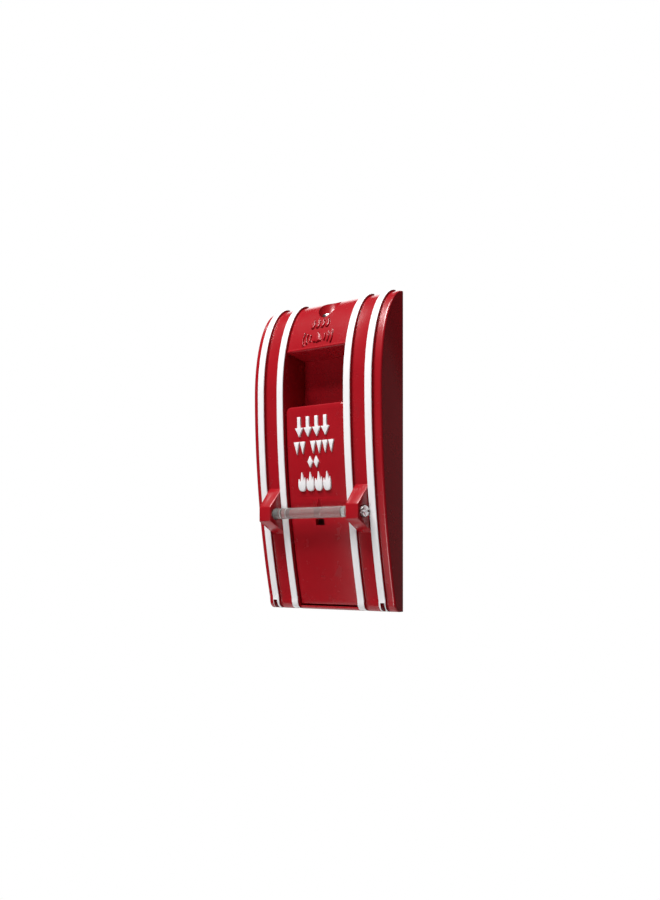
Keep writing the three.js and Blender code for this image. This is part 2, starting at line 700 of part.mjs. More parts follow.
const handleGroup = new THREE.Group();
handleGroup.add(
  pullHandle(),
  actuatorArm(),
  rearScrew("actuator_screw_left", -ARM_SCREW_X, ARM_SCREW_Z, ARM_SEAT - 1.8, 3.9),
  rearScrew("actuator_screw_right", ARM_SCREW_X, ARM_SCREW_Z, ARM_SEAT - 1.8, 3.9),
  rodPiece("glass_rod_middle", -split, split),
);

coverGroup.add(handleGroup, toggleLever(), lockScrew(), rodRetainer());
callPoint.add(wallGroup, coverGroup);

export default callPoint;
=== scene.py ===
# %% [markdown]
# # A manual fire call point
#
# The object is a red, wall-mounted fire alarm station: a die-cast cover with four white ribs, a
# pull handle between the ribs, and a glass rod that the handle has to snap. The mechanical model
# holds every part at its real place and size. This lesson makes the fine surfaces around it, one
# piece at a time, and then lights them. +Z is up, the wall is the plane Y = 0 and the front looks
# along -Y. The word "forward" always means the distance out from the wall, which is -Y.

import math

import bmesh
import bpy
from mathutils import Matrix, Vector


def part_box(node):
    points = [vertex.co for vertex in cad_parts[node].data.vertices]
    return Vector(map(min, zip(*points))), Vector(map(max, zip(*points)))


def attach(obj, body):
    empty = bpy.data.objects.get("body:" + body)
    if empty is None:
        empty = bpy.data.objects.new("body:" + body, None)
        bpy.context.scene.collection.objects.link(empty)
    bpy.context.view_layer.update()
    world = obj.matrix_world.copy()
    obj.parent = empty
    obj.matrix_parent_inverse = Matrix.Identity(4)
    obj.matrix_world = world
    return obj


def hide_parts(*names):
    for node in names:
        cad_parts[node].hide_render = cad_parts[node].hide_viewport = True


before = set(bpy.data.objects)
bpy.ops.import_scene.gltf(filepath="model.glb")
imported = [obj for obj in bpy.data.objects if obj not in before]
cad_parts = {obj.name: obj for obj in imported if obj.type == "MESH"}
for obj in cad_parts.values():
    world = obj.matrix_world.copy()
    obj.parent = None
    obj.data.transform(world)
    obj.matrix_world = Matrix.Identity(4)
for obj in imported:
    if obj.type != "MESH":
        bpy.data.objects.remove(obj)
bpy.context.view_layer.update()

# %% [markdown]
# ## Driving dimensions
#
# Lengths are in millimetres while a piece is being made, and the piece is scaled to metres when it
# becomes an object. A part that has a box in the mechanical model takes its place from there, so
# the two can't drift apart. The casting's side view needs a few numbers more: a quarter ellipse
# over the top, then one long shallow arc to the foot.


# %% Driving dimensions
def span(node):
    """A part's limits in millimetres along X, forward and Z, each as (low, high)."""
    low, high = (1000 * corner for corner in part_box(node))
    return (low.x, high.x), (-high.y, -low.y), (low.z, high.z)


def mid(limits):
    return (limits[0] + limits[1]) / 2


def axis_of(node, *names):
    """Where a part's axis lies, as keywords that the shapes below take."""
    middles = dict(zip(("x", "forward", "z"), map(mid, span(node))))
    return {name: middles[name] for name in names}


(_, HALF_WIDTH), _, (BOTTOM, TOP) = span("front_cover")
REAR = 0.5  # gap between the cover's rim and the wall
WALL = 1.8
CREST, CREST_Z = 20.5, 28  # the furthest point from the wall, where ellipse and arc meet
SWEEP_RADIUS = 400
RIB_HEIGHT, RIB_TOP_STEP, RIB_WIDTH = 1.9, 1.0, 3.5
INNER_RIB, OUTER_RIB = 16.6, 27.7
CHEEK = 18.4  # outer face of the walls beside the handle
BROW_Z, FOOT_Z, LIP_Z = 46.2, -66, -69.4  # brow edge, start of the foot's curve, channel's end
HANDLE_INSET = RIB_HEIGHT + 0.15
PIVOT = axis_of("handle_pivot_pin", "forward", "z")
HINGE = axis_of("cover_hinge_pin_left", "forward", "z")
ROD = axis_of("glass_rod_middle", "forward", "z")
LOCK = axis_of("lock_screw", "forward")
EAR_X = 29.75  # the hinge ears, from the middle
SCREW_X, BRACKET_Z, BLOCK_Z = 13, -36, -7.75  # screws of the switch bracket and the terminal block
SWITCH = {"forward": 1.6}  # the switch's axis
SCREW_HOLE, PIVOT_BORE, HINGE_BORE = 1.5, 1.6, 1.1  # radii of holes, with clearance
print("cover", round(2 * HALF_WIDTH, 1), "x", round(TOP - BOTTOM, 1), "mm")

# %% [markdown]
# ## Shader maths as plain expressions
#
# A material's maths is easier to read as `noise * 0.2 + 0.4` than as a chain of nodes. The class
# below wraps one node socket. Its operators add Math nodes, and `node` adds any other node:
# settings first, then the sockets' values or links.


# %% One class for shader maths
class Value:
    """A socket of a node tree, on which ordinary arithmetic works."""

    def __init__(self, tree, socket):
        self.tree = tree
        self.socket = socket

    def node(self, kind, settings=None, inputs=None, output=0):
        """Adds one node: its settings, its sockets' values or links, and the output to read."""
        made = self.tree.nodes.new(kind)
        for key, value in (settings or {}).items():
            setattr(made, key, value)
        for key, value in (inputs or {}).items():
            if isinstance(value, Value):
                self.tree.links.new(value.socket, made.inputs[key])
            else:
                made.inputs[key].default_value = value
        return Value(self.tree, made.outputs[output]) if made.outputs else made

    def math(self, operation, a, b):
        return self.node("ShaderNodeMath", {"operation": operation}, {0: a, 1: b})

    def __add__(self, other):
        return self.math("ADD", self, other)

    def __radd__(self, other):
        return self.math("ADD", other, self)

    def __sub__(self, other):
        return self.math("SUBTRACT", self, other)

    def __rsub__(self, other):
        return self.math("SUBTRACT", other, self)

    def __mul__(self, other):
        return self.math("MULTIPLY", self, other)

    def __rmul__(self, other):
        return self.math("MULTIPLY", other, self)

    def noise(self, scale, detail=3.0, roughness=0.5, stretch=(1, 1, 1)):
        """Noise from 0 to 1, its scale in features per metre."""
        where = self.node("ShaderNodeMapping", None, {"Vector": self, "Scale": stretch})
        sockets = {"Vector": where, "Scale": scale, "Detail": detail, "Roughness": roughness}
        return self.node("ShaderNodeTexNoise", None, sockets)

    def steps(self, low, high):
        """0 below low, 1 above high, and smooth between."""
        settings = {"interpolation_type": "SMOOTHSTEP"}
        sockets = {"Value": self, "From Min": low, "From Max": high}
        return self.node("ShaderNodeMapRange", settings, sockets)

    def mix(self, colour_a, colour_b):
        """colour_a where this value is 0 and colour_b where it is 1."""
        sockets = {0: self, 6: colour_a, 7: colour_b}
        return self.node("ShaderNodeMix", {"data_type": "RGBA"}, sockets, output=2)

    def bump(self, strength, distance):
        sockets = {"Height": self, "Strength": strength, "Distance": distance}
        return self.node("ShaderNodeBump", None, sockets)


def finish_of(name, paint):
    """A material whose Principled sockets are what paint(place) returns, in object space."""
    material = bpy.data.materials.new(name)
    material.use_nodes = True
    tree = material.node_tree
    shader = tree.nodes["Principled BSDF"]
    coordinates = tree.nodes.new("ShaderNodeTexCoord")
    for key, value in paint(Value(tree, coordinates.outputs["Object"])).items():
        if isinstance(value, Value):
            tree.links.new(value.socket, shader.inputs[key])
        else:
            shader.inputs[key].default_value = value
    return material


def rgb(red, green, blue):
    return (red, green, blue, 1.0)


# %% [markdown]
# ## Enamel
#
# Baked enamel on a casting is glossy but never perfectly flat: it has a fine orange peel, faint
# clouds in its colour and a few dull smudges where hands touch it. The white on the rib crests is a
# second, thinner coat, so it is a little duller and has small grey scuffs.


# %% Enamel, red and white
def red_enamel(place):
    clouds = place.noise(45, 4.0, 0.6)
    grime = place.noise(160, 5.0, 0.65).steps(0.56, 0.8)
    peel = place.noise(1500, 2.0, 0.5)
    pits = place.noise(5200, 1.0, 0.4).steps(0.66, 0.8)
    base = clouds.mix(rgb(0.30, 0.0045, 0.0100), rgb(0.385, 0.0075, 0.0140))
    return {
        "Base Color": (grime * 0.35).mix(base, rgb(0.17, 0.006, 0.010)),
        "Roughness": place.noise(75, 4.0, 0.6) * 0.14 + grime * 0.10 + 0.18,
        "IOR": 1.5,
        "Coat Weight": 0.15,
        "Coat Roughness": 0.09,
        "Normal": (peel - pits * 0.5).bump(0.16, 0.00006),
    }


def white_enamel(place):
    clouds = place.noise(60, 4.0, 0.6)
    scuffs = place.noise(700, 5.0, 0.7, (1, 1, 0.25)).steps(0.60, 0.75)
    base = clouds.mix(rgb(0.78, 0.765, 0.775), rgb(0.88, 0.865, 0.875))
    return {
        "Base Color": (scuffs * 0.5).mix(base, rgb(0.52, 0.50, 0.51)),
        "Roughness": clouds * 0.15 + scuffs * 0.2 + 0.32,
        "IOR": 1.5,
        "Coat Weight": 0.2,
        "Coat Roughness": 0.2,
        "Normal": place.noise(1800, 2.0, 0.5).bump(0.14, 0.00006),
    }


RED = finish_of("red_enamel", red_enamel)
WHITE = finish_of("white_enamel", white_enamel)
print("enamels", RED.name, WHITE.name)

# %% [markdown]
# ## Metals
#
# Zinc-plated sheet shows a rolling grain along its length and a patchy blue-yellow cast. Turned
# parts have fine rings, brass dulls to brown in patches, and spring wire is dark from its heat
# treatment. Each is the same recipe with other colours: a grain, which is noise stretched along one
# axis, plus stains.


# %% Metals
def metal(bright, stained, rough, grain=(1, 1, 1), grain_scale=4000, depth=0.12):
    """A recipe for a metal: two colours, a roughness, and a grain that may be stretched."""

    def paint(place):
        patches = place.noise(230, 5.0, 0.6).steps(0.40, 0.72)
        lines = place.noise(grain_scale, 3.0, 0.6, grain)
        return {
            "Base Color": (patches * 0.5).mix(rgb(*bright), rgb(*stained)),
            "Metallic": 1.0,
            "Roughness": lines * 0.22 + patches * 0.08 + rough,
            "Normal": lines.bump(depth, 0.00004),
        }

    return paint


ROLLED = (1, 1, 0.05)  # a grain along Z
zinc = metal((0.60, 0.61, 0.63), (0.56, 0.52, 0.40), 0.26, ROLLED, 2600)
ZINC = finish_of("zinc_plate", zinc)
NICKEL = finish_of("nickel_plate", metal((0.74, 0.74, 0.75), (0.60, 0.59, 0.57), 0.12))
SPRING = finish_of("spring_steel", metal((0.33, 0.34, 0.36), (0.20, 0.19, 0.19), 0.22))
BRASS = finish_of("brass", metal((0.80, 0.60, 0.27), (0.42, 0.28, 0.12), 0.20))
GREEN = finish_of("green_zinc", metal((0.06, 0.36, 0.12), (0.03, 0.20, 0.07), 0.28))
print("metals", [material.name for material in (ZINC, NICKEL, SPRING, BRASS, GREEN)])

# %% [markdown]
# ## Plastics and glass
#
# The terminal block is matte moulded nylon, the switch body is phenolic with a brown mottle, and
# the leads have shiny insulation. The rod is drawn glass, with faint draw lines along it and a haze
# that comes from age. So it transmits most of the light, but not all.


# %% Plastics and glass
def plastic(dark, light, rough, scale=900, depth=0.2):
    """A recipe for a moulded plastic: two greys or colours that mottle, and a fine texture."""

    def paint(place):
        mottle = place.noise(scale * 0.25, 4.0, 0.6)
        texture = place.noise(scale * 4, 2.0, 0.5)
        return {
            "Base Color": mottle.mix(rgb(*dark), rgb(*light)),
            "Roughness": texture * 0.18 + rough,
            "Normal": texture.bump(depth, 0.00005),
        }

    return paint


def drawn_glass(place):
    lines = place.noise(2200, 2.0, 0.5, (0.02, 1, 1))
    haze = place.noise(300, 4.0, 0.6)
    return {
        "Base Color": haze.mix(rgb(0.80, 0.81, 0.79), rgb(0.66, 0.67, 0.65)),
        "Roughness": haze * 0.04 + 0.01,
        "IOR": 1.5,
        "Transmission Weight": 0.84,
        "Normal": lines.bump(0.05, 0.00003),
    }


red_skin = plastic((0.34, 0.01, 0.012), (0.46, 0.02, 0.02), 0.22, 700, 0.1)
black_skin = plastic((0.008, 0.008, 0.008), (0.02, 0.02, 0.02), 0.22, 700, 0.1)
NYLON = finish_of("black_nylon", plastic((0.012, 0.012, 0.013), (0.03, 0.03, 0.032), 0.42))
PHENOLIC = finish_of("phenolic", plastic((0.035, 0.017, 0.010), (0.09, 0.045, 0.025), 0.36, 1600))
RED_LEAD = finish_of("red_insulation", red_skin)
BLACK_LEAD = finish_of("black_insulation", black_skin)
GLASS = finish_of("drawn_glass", drawn_glass)

# %% [markdown]
# ## Basic shapes
#
# Most parts start as one of four shapes: a slab between limits, a profile spun into a round part, a
# side outline pushed across the width, or a front outline pushed forward. Each is a bmesh, which is
# Blender's editable mesh. `eased` rounds its sharp edges, because no cast, stamped or moulded edge
# is sharp.


# %% Slab with eased edges
def bevelled(bm, edges, width, segments):
    bmesh.ops.bevel(
        bm,
        geom=edges,
        offset=width,
        segments=segments,
        profile=0.5,
        affect="EDGES",
        material=-1,
        clamp_overlap=True,
    )
    return bm


def eased(bm, width, segments=2, sharper_than=30):
    """Rounds every edge that turns by more than the angle."""
    limit = math.radians(sharper_than)
    edges = [e for e in bm.edges if e.is_manifold and e.calc_face_angle(0) > limit]
    return bevelled(bm, edges, width, segments)


def slab(x, forward, z, ease=0.0):
    """A block between (low, high) limits along X, forward and Z."""
    bm = bmesh.new()
    bmesh.ops.create_cube(bm, size=1)
    size = (x[1] - x[0], forward[1] - forward[0], z[1] - z[0])
    bmesh.ops.scale(bm, vec=size, verts=bm.verts)
    bmesh.ops.translate(bm, vec=(mid(x), -mid(forward), mid(z)), verts=bm.verts)
    return eased(bm, ease) if ease else bm


# %% Turned parts
TURNS = {
    "X": Matrix.Rotation(math.pi / 2, 3, "Y"),
    "Y": Matrix.Rotation(math.pi / 2, 3, "X"),
    "Z": Matrix.Identity(3),
}
OFF_LINE = Matrix.Rotation(0.037, 3, "Z")  # keeps a bore's corners off the edges that it cuts
FEW = 8  # a part with no more sides than this is a prism, which keeps its flats level


def turned(profile, axis, x=0, forward=0, z=0, steps=48):
    """A solid of revolution. The profile lists (radius, along), and along grows to +X, -Y or +Z."""
    bm = bmesh.new()
    verts = [bm.verts.new((radius, 0, along)) for radius, along in profile]
    edges = [bm.edges.new(pair) for pair in zip(verts, verts[1:])]
    bmesh.ops.spin(
        bm,
        geom=verts + edges,
        axis=(0, 0, 1),
        cent=(0, 0, 0),
        angle=2 * math.pi,
        steps=steps,
        use_merge=True,
    )
    bmesh.ops.remove_doubles(bm, verts=bm.verts, dist=1e-4)
    bmesh.ops.recalc_face_normals(bm, faces=bm.faces)
    if steps > FEW:
        bmesh.ops.rotate(bm, verts=bm.verts, cent=(0, 0, 0), matrix=OFF_LINE)
    bmesh.ops.rotate(bm, verts=bm.verts, cent=(0, 0, 0), matrix=TURNS[axis])
    bmesh.ops.translate(bm, vec=(x, -forward, z), verts=bm.verts)
    return bm


def bar(radius, start, end, axis, chamfer=0.0, **turning):
    """A round bar from start to end along its axis, with chamfered ends."""
    c = chamfer
    if c:
        ends = [(radius - c, start), (radius, start + c), (radius, end - c), (radius - c, end)]
    else:
        ends = [(radius, start), (radius, end)]
    return turned([(0, start)] + ends + [(0, end)], axis, **turning)


def ring(outer, bore, start, end, axis, chamfer=0.12, **turning):
    """A washer or tube: a closed profile spun round its axis."""
    c = chamfer
    profile = [(bore, start), (outer - c, start), (outer, start + c), (outer, end - c)]
    profile += [(outer - c, end), (bore, end), (bore, start)]
    return turned(profile, axis, **turning)


# %% Prisms, mirror images and unions of loose shapes
def pushed(corners, shift):
    """A closed outline of 3-D corners pushed along a vector into a solid."""
    bm = bmesh.new()
    face = bm.faces.new([bm.verts.new(corner) for corner in corners])
    made = bmesh.ops.extrude_face_region(bm, geom=[face])["geom"]
    moved = [v for v in made if isinstance(v, bmesh.types.BMVert)]
    bmesh.ops.translate(bm, vec=shift, verts=moved)
    bmesh.ops.recalc_face_normals(bm, faces=bm.faces)
    return bm


def side_prism(points, x0, x1):
    """A (forward, z) outline pushed across from x0 to x1."""
    return pushed([(x0, -forward, z) for forward, z in points], (x1 - x0, 0, 0))


def front_prism(points, f0, f1):
    """An (x, z) outline pushed forward from f0 to f1."""
    return pushed([(x, -f0, z) for x, z in points], (0, f0 - f1, 0))


def rounded_outline(a, b, radius, steps=6):
    """Points of a rectangle between the limits a and b, with round corners."""
    corners = [(a[1], b[1], 0), (a[0], b[1], 90), (a[0], b[0], 180), (a[1], b[0], 270)]
    points = []
    for u, v, start in corners:
        cu = u - radius if u == a[1] else u + radius
        cv = v - radius if v == b[1] else v + radius
        for i in range(steps + 1):
            angle = math.radians(start + 90 * i / steps)
            points.append((cu + radius * math.cos(angle), cv + radius * math.sin(angle)))
    return points


def joined(*parts):
    """Several bmeshes as one."""
    whole = bmesh.new()
    for bm in parts:
        mesh = bpy.data.meshes.new("joined")
        bm.to_mesh(mesh)
        bm.free()
        whole.from_mesh(mesh)
        bpy.data.meshes.remove(mesh)
    return whole


def mirrored(bm):
    """The bmesh with its mirror image across X = 0."""
    twin = bm.copy()
    bmesh.ops.scale(twin, vec=(-1, 1, 1), verts=twin.verts)
    bmesh.ops.reverse_faces(twin, faces=twin.faces)
    return joined(bm, twin)


# %% [markdown]
# ## From a bmesh to a finished piece
#
# `as_object` turns a bmesh into an object at the origin and scales it to metres. `combine` adds
# shapes to it or cuts them out with an exact Boolean, which is applied at once, so the finished
# mesh stands alone. `finish` says how it is shaded, which moving body carries it, and which plain
# parts it stands for, and `fine` does all of this for a part that needs only additions and cuts.


# %% Helpers that finish a piece
def as_object(name, bm, *materials):
    bmesh.ops.scale(bm, vec=(0.001, 0.001, 0.001), verts=bm.verts)
    mesh = bpy.data.meshes.new(name)
    bm.to_mesh(mesh)
    bm.free()
    piece = bpy.data.objects.new(name, mesh)
    bpy.context.scene.collection.objects.link(piece)
    for material in materials:
        mesh.materials.append(material)
    return piece


def welded(mesh):
    """The mesh with coinciding corners made one, so that the next Boolean meets a clean solid."""
    bm = bmesh.new()
    bm.from_mesh(mesh)
    bmesh.ops.remove_doubles(bm, verts=bm.verts, dist=4e-7)
    bmesh.ops.dissolve_degenerate(bm, edges=bm.edges, dist=2e-7)
    bm.to_mesh(mesh)
    bm.free()
    return mesh


def combine(piece, operation, *tools):
    """Joins the tools to the piece (UNION), cuts them out (DIFFERENCE) or keeps what they share."""
    for tool in tools:
        other = as_object("tool", tool)
        boolean = piece.modifiers.new("combine", "BOOLEAN")
        boolean.operation = operation
        boolean.solver = "EXACT"
        boolean.object = other
        graph = bpy.context.evaluated_depsgraph_get()
        made = bpy.data.meshes.new_from_object(piece.evaluated_get(graph))
        piece.modifiers.clear()
        piece.data = welded(made)
        bpy.data.objects.remove(other)
    return piece


def cut(piece, *tools):
    return combine(piece, "DIFFERENCE", *tools)


def add(piece, *tools):
    return combine(piece, "UNION", *tools)


def finish(piece, body, *nodes, smooth=35):
    """Smooth shading below the angle, the body that it rides on, and what it replaces."""
    piece.data.name = piece.name
    piece.data.shade_smooth()
    piece.data.set_sharp_from_angle(angle=math.radians(smooth))
    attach(piece, body)
    if nodes:
        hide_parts(*nodes)
    return piece


def fine(node, body, material, bm, additions=(), cuts=()):
    """The piece that stands for a plain part and is named after it."""
    piece = as_object(node + "_fine", bm, material)
    return finish(cut(add(piece, *additions), *cuts), body, node)


def closed(piece):
    """Whether the mesh is one watertight surface, for the printed report."""
    bm = bmesh.new()
    bm.from_mesh(piece.data)
    answer = all(edge.is_manifold for edge in bm.edges)
    bm.free()
    return answer


# %% [markdown]
# ## The side line
#
# The casting is a surface swept across the width, so one line in side view describes it. It runs
# from the wall over the top, down the front to the foot and back to the wall. The same function
# gives the valley level, the rib crests and the inside of the shell, each at its own inset. The
# lines of the valleys and the crests have the same number of points, so they can be mixed point by
# point.


# %% The side line
def sweep(z, inset):
    """How far the shallow arc stands off the wall at height z."""
    drop = SWEEP_RADIUS - math.sqrt(SWEEP_RADIUS**2 - (CREST_Z - z) ** 2)
    return CREST - inset - drop


def brow(z, inset, top_step):
    """How far the quarter ellipse over the top stands off the wall at height z."""
    height = TOP - top_step - CREST_Z
    return (CREST - inset) * math.sqrt(1 - ((z - CREST_Z) / height) ** 2)


OVER_TOP, TO_CREST, DOWN, AT_FOOT, TO_WALL = 30, 12, 40, 6, 3  # steps along each stretch


def side_line(inset, top_step, foot_forward, foot_z):
    """(forward, z) points of the casting, from the wall over the top, inset from the crests."""
    reach = CREST - inset
    height = TOP - top_step - CREST_Z
    at_wall = math.acos(REAR / reach)
    at_brow = math.asin((BROW_Z - CREST_Z) / height)
    points = []
    for start, end, count in ((at_wall, at_brow, OVER_TOP), (at_brow, 0, TO_CREST)):
        for i in range(count):
            angle = start + (end - start) * i / count
            points.append((reach * math.cos(angle), CREST_Z + height * math.sin(angle)))
    for i in range(DOWN):
        z = CREST_Z + (FOOT_Z - CREST_Z) * i / DOWN
        points.append((sweep(z, inset), z))
    foot = sweep(FOOT_Z, inset)
    at_lip = 1 - math.sqrt((LIP_Z - foot_z) / (FOOT_Z - foot_z))
    curve = [at_lip * i / AT_FOOT for i in range(AT_FOOT)]
    if at_lip < 1:
        curve += [at_lip + (1 - at_lip) * i / AT_FOOT for i in range(AT_FOOT)]
    for t in curve:
        forward = foot * (1 - t * t) + foot_forward * t * t
        z = FOOT_Z * (1 - t) ** 2 + foot_z * (1 - (1 - t) ** 2)
        points.append((forward, z))
    for i in range(TO_WALL + 1):
        points.append((foot_forward + (REAR - foot_forward) * i / TO_WALL, foot_z))
    return points


valley_line = side_line(RIB_HEIGHT, RIB_TOP_STEP, 3.5, BOTTOM)
crest_line = side_line(0, 0, 6, BOTTOM + 0.3)
inner_line = side_line(RIB_HEIGHT + WALL, RIB_TOP_STEP + WALL, 3, LIP_Z)
print("points along the side", len(valley_line))

# %% [markdown]
# ## The cover's skin
#
# Across the width the skin is a chain of points with a height `rise`: 0 in the valleys and 1 on the
# rib crests, with small quarter circles between. The chain is extruded along the side line, and
# each new point is set between the valley line and the crest line by its own rise. A vertex layer
# carries the rise along, because an extrusion copies layers. The crest faces take the white enamel.


# %% The chain across the width
def quarter(x0, rise0, dx, drise, rounded_first):
    """Points of a quarter ellipse from (x0, rise0) to (x0 + dx, rise0 + drise)."""
    points = []
    for i in range(5):
        a = math.pi / 2 * i / 4
        if rounded_first:
            points.append((x0 + dx * (1 - math.cos(a)), rise0 + drise * math.sin(a)))
        else:
            points.append((x0 + dx * math.sin(a), rise0 + drise * (1 - math.cos(a))))
    return points


def chain_across():
    """(x, rise) from the channel's edge to the side of the cover."""
    crest, foot, side = 0.35, 0.18, 1.0  # radii at a rib's crest and foot, and the cover's side
    crest_rise, foot_rise, side_rise = (radius / RIB_HEIGHT for radius in (crest, foot, side))
    points = [(INNER_RIB, 0)]
    for low in (INNER_RIB, OUTER_RIB):
        high = low + RIB_WIDTH
        if low == OUTER_RIB:
            points += quarter(low - foot, 0, foot, foot_rise, False)
        points += quarter(low, 1 - crest_rise, crest, crest_rise, True)
        points += quarter(high - crest, 1, crest, -crest_rise, False)
        points += quarter(high, foot_rise, foot, -foot_rise, True)
    return points + quarter(HALF_WIDTH - side, 0, side, -side_rise, False)


half_chain = chain_across()
chain = [(-x, rise) for x, rise in reversed(half_chain)] + half_chain
print("points across", len(chain))


# %% Sweep a chain along the side lines
def swept(chain, low_line, high_line):
    """The surface of a chain of (x, rise) along two side lines. Its ends are closed flat."""
    bm = bmesh.new()
    rise = bm.verts.layers.float.new("rise")
    column = bm.verts.layers.int.new("column")
    row = []
    for i, (x, k) in enumerate(chain):
        vert = bm.verts.new((x, 0, 0))
        vert[rise], vert[column] = k, i
        row.append(vert)
    edges = [bm.edges.new(pair) for pair in zip(row, row[1:])]
    rows = []
    for (f0, z0), (f1, z1) in zip(low_line, high_line):
        if rows:
            made = bmesh.ops.extrude_edge_only(bm, edges=edges)["geom"]
            new = [v for v in made if isinstance(v, bmesh.types.BMVert)]
            row = sorted(new, key=lambda v: v[column])
            made_edges = [e for e in made if isinstance(e, bmesh.types.BMEdge)]
            edges = [e for e in made_edges if set(e.verts) <= set(new)]
        for vert in row:
            k = vert[rise]
            vert.co = (vert.co.x, -(f0 + (f1 - f0) * k), max(z0 + (z1 - z0) * k, BOTTOM))
        rows.append(row)
    for face in bm.faces:
        face.material_index = int(min(v[rise] for v in face.verts) > 0.5)
    for end in (0, -1):
        bm.faces.new([row[end] for row in rows])
    return bm


def without_channel(bm):
    """Removes the faces between the inner ribs that the handle and the finger pocket take up."""
    gone = []
    for face in bm.faces:
        x, y, z = face.calc_center_median()
        if abs(x) < INNER_RIB - 0.01 and LIP_Z + 0.01 < z < BROW_Z and y < -REAR:
            gone.append(face)
    bmesh.ops.delete(bm, geom=gone, context="FACES")
    return bm


def cover_shell():
    """Outer skin, inner skin, rear rim and the channel's edge, as one closed surface."""
    outer = without_channel(swept(chain, valley_line, crest_line))
    x = HALF_WIDTH - WALL
    inner_chain = [(-x, 0), (-INNER_RIB, 0), (INNER_RIB, 0), (x, 0)]
    inner = without_channel(swept(inner_chain, inner_line, inner_line))
    shell = joined(outer, inner)
    loose = [e for e in shell.edges if e.is_boundary]
    rim = [e for e in loose if all(v.co.y > -REAR - 0.001 for v in e.verts)]
    channel = [e for e in loose if e not in set(rim)]
    bmesh.ops.triangle_fill(shell, use_beauty=True, use_dissolve=True, edges=rim)
    bmesh.ops.bridge_loops(shell, edges=channel)
    bmesh.ops.recalc_face_normals(shell, faces=shell.faces)
    return shell


cover = as_object("front_cover_casting", cover_shell(), RED, WHITE)
print("shell watertight:", closed(cover), "faces", len(cover.data.polygons))

# %% [markdown]
# ## Inside and around the channel
#
# The channel has a cheek on each side, a rear wall with a ledge under it and a sloping ceiling,
# which make the finger pocket. A small roll runs along the brow's lower edge and another along the
# lip below the handle: it is how a casting gets a safe edge, and it catches the light. Each shape
# is plain and reaches a little into its neighbour, so that one exact union makes the casting a
# single body.


# %% Walls of the finger pocket
def front_points(inset, z0, z1, count=40):
    """(forward, z) points down the front at an inset, from z1 to z0."""
    heights = [z1 + (z0 - z1) * i / count for i in range(count + 1)]
    return [(brow(z, inset, RIB_TOP_STEP) if z > CREST_Z else sweep(z, inset), z) for z in heights]


buried = RIB_HEIGHT + WALL / 2  # the middle of the skin, where an added wall may end unseen
BACK = (2.2, 3.4)  # the pocket's rear wall, forward
LEDGE_Z, LEDGE_REACH = (3.6, 5.2), 12.6
CEILING_REACH = 15.6
cheek_z = (LIP_Z - 0.6, BROW_Z + 1.6)
cheek = [(BACK[0], z) for z in cheek_z] + front_points(buried, *cheek_z)
across = (-CHEEK + 0.3, CHEEK - 0.3)
ceiling = [(2.3, BROW_Z - 2.3), (CEILING_REACH, BROW_Z - 0.5)]
ceiling += [(CEILING_REACH, BROW_Z + 1.3), (2.3, BROW_Z)]
brow_edge = brow(BROW_Z, RIB_HEIGHT, RIB_TOP_STEP)
add(
    cover,
    side_prism(cheek, INNER_RIB + 0.01, CHEEK),
    side_prism(cheek, -CHEEK, -INNER_RIB - 0.01),
    slab(across, BACK, (LEDGE_Z[0], BROW_Z - 0.4)),
    slab(across, (BACK[0] + 0.1, LEDGE_REACH), LEDGE_Z),
    side_prism(ceiling, *across),
    slab(across, (REAR, REAR + 0.8), (BOTTOM + 1, -63.2)),
    bar(0.85, *across, "X", forward=brow_edge - 0.65, z=BROW_Z + 0.4),
    bar(0.5, *across, "X", forward=6.2, z=LIP_Z - 0.4),
)
print("with its pocket:", closed(cover), "faces", len(cover.data.polygons))

# %% [markdown]
# ## Lock bowl, lugs and hinge blocks
#
# A conical bowl sinks into the top edge so that a key can reach the lock screw. It would stick out
# of the shell at the front, so it is first cut to what it shares with the inside of the side line.
# Lugs on the cheeks take the bracket screws, and blocks in the lower corners carry the hinge pins.

# %% Lock bowl, lugs and hinge blocks
bowl_z = span("lock_screw")[2][1] - 2.7  # the bowl's floor, where the screw's head stands
bowl_profile = [(0, bowl_z - 1.6), (5.6, bowl_z - 1.6), (7.4, TOP), (0, TOP)]
bowl = as_object("bowl", turned(bowl_profile, "Z", **LOCK))
bowl_limit = side_line(buried, RIB_TOP_STEP + 0.9, 3, BOTTOM + 1)
combine(bowl, "INTERSECT", side_prism(bowl_limit, -10, 10))


def bmesh_of(piece):
    """The piece's mesh as a bmesh in millimetres, with the piece itself gone."""
    bm = bmesh.new()
    bm.from_mesh(piece.data)
    bmesh.ops.scale(bm, vec=(1000, 1000, 1000), verts=bm.verts)
    bpy.data.objects.remove(piece)
    return bm


LUG_X, LUG_FORWARD = (11.2, INNER_RIB + 0.4), (4.5, 8.4)
lugs = [mirrored(slab(LUG_X, LUG_FORWARD, z, 0.4)) for z in ((-40.5, -31.5), (-11, -4.5))]
HINGE_TOP = -67.2
hinge_block = [(2.2, HINGE_TOP), (6.4, HINGE_TOP), (5.2, BOTTOM + 0.8), (2.2, BOTTOM + 0.8)]
add(cover, bmesh_of(bowl), *lugs, mirrored(side_prism(hinge_block, 27.2, 32.6)))

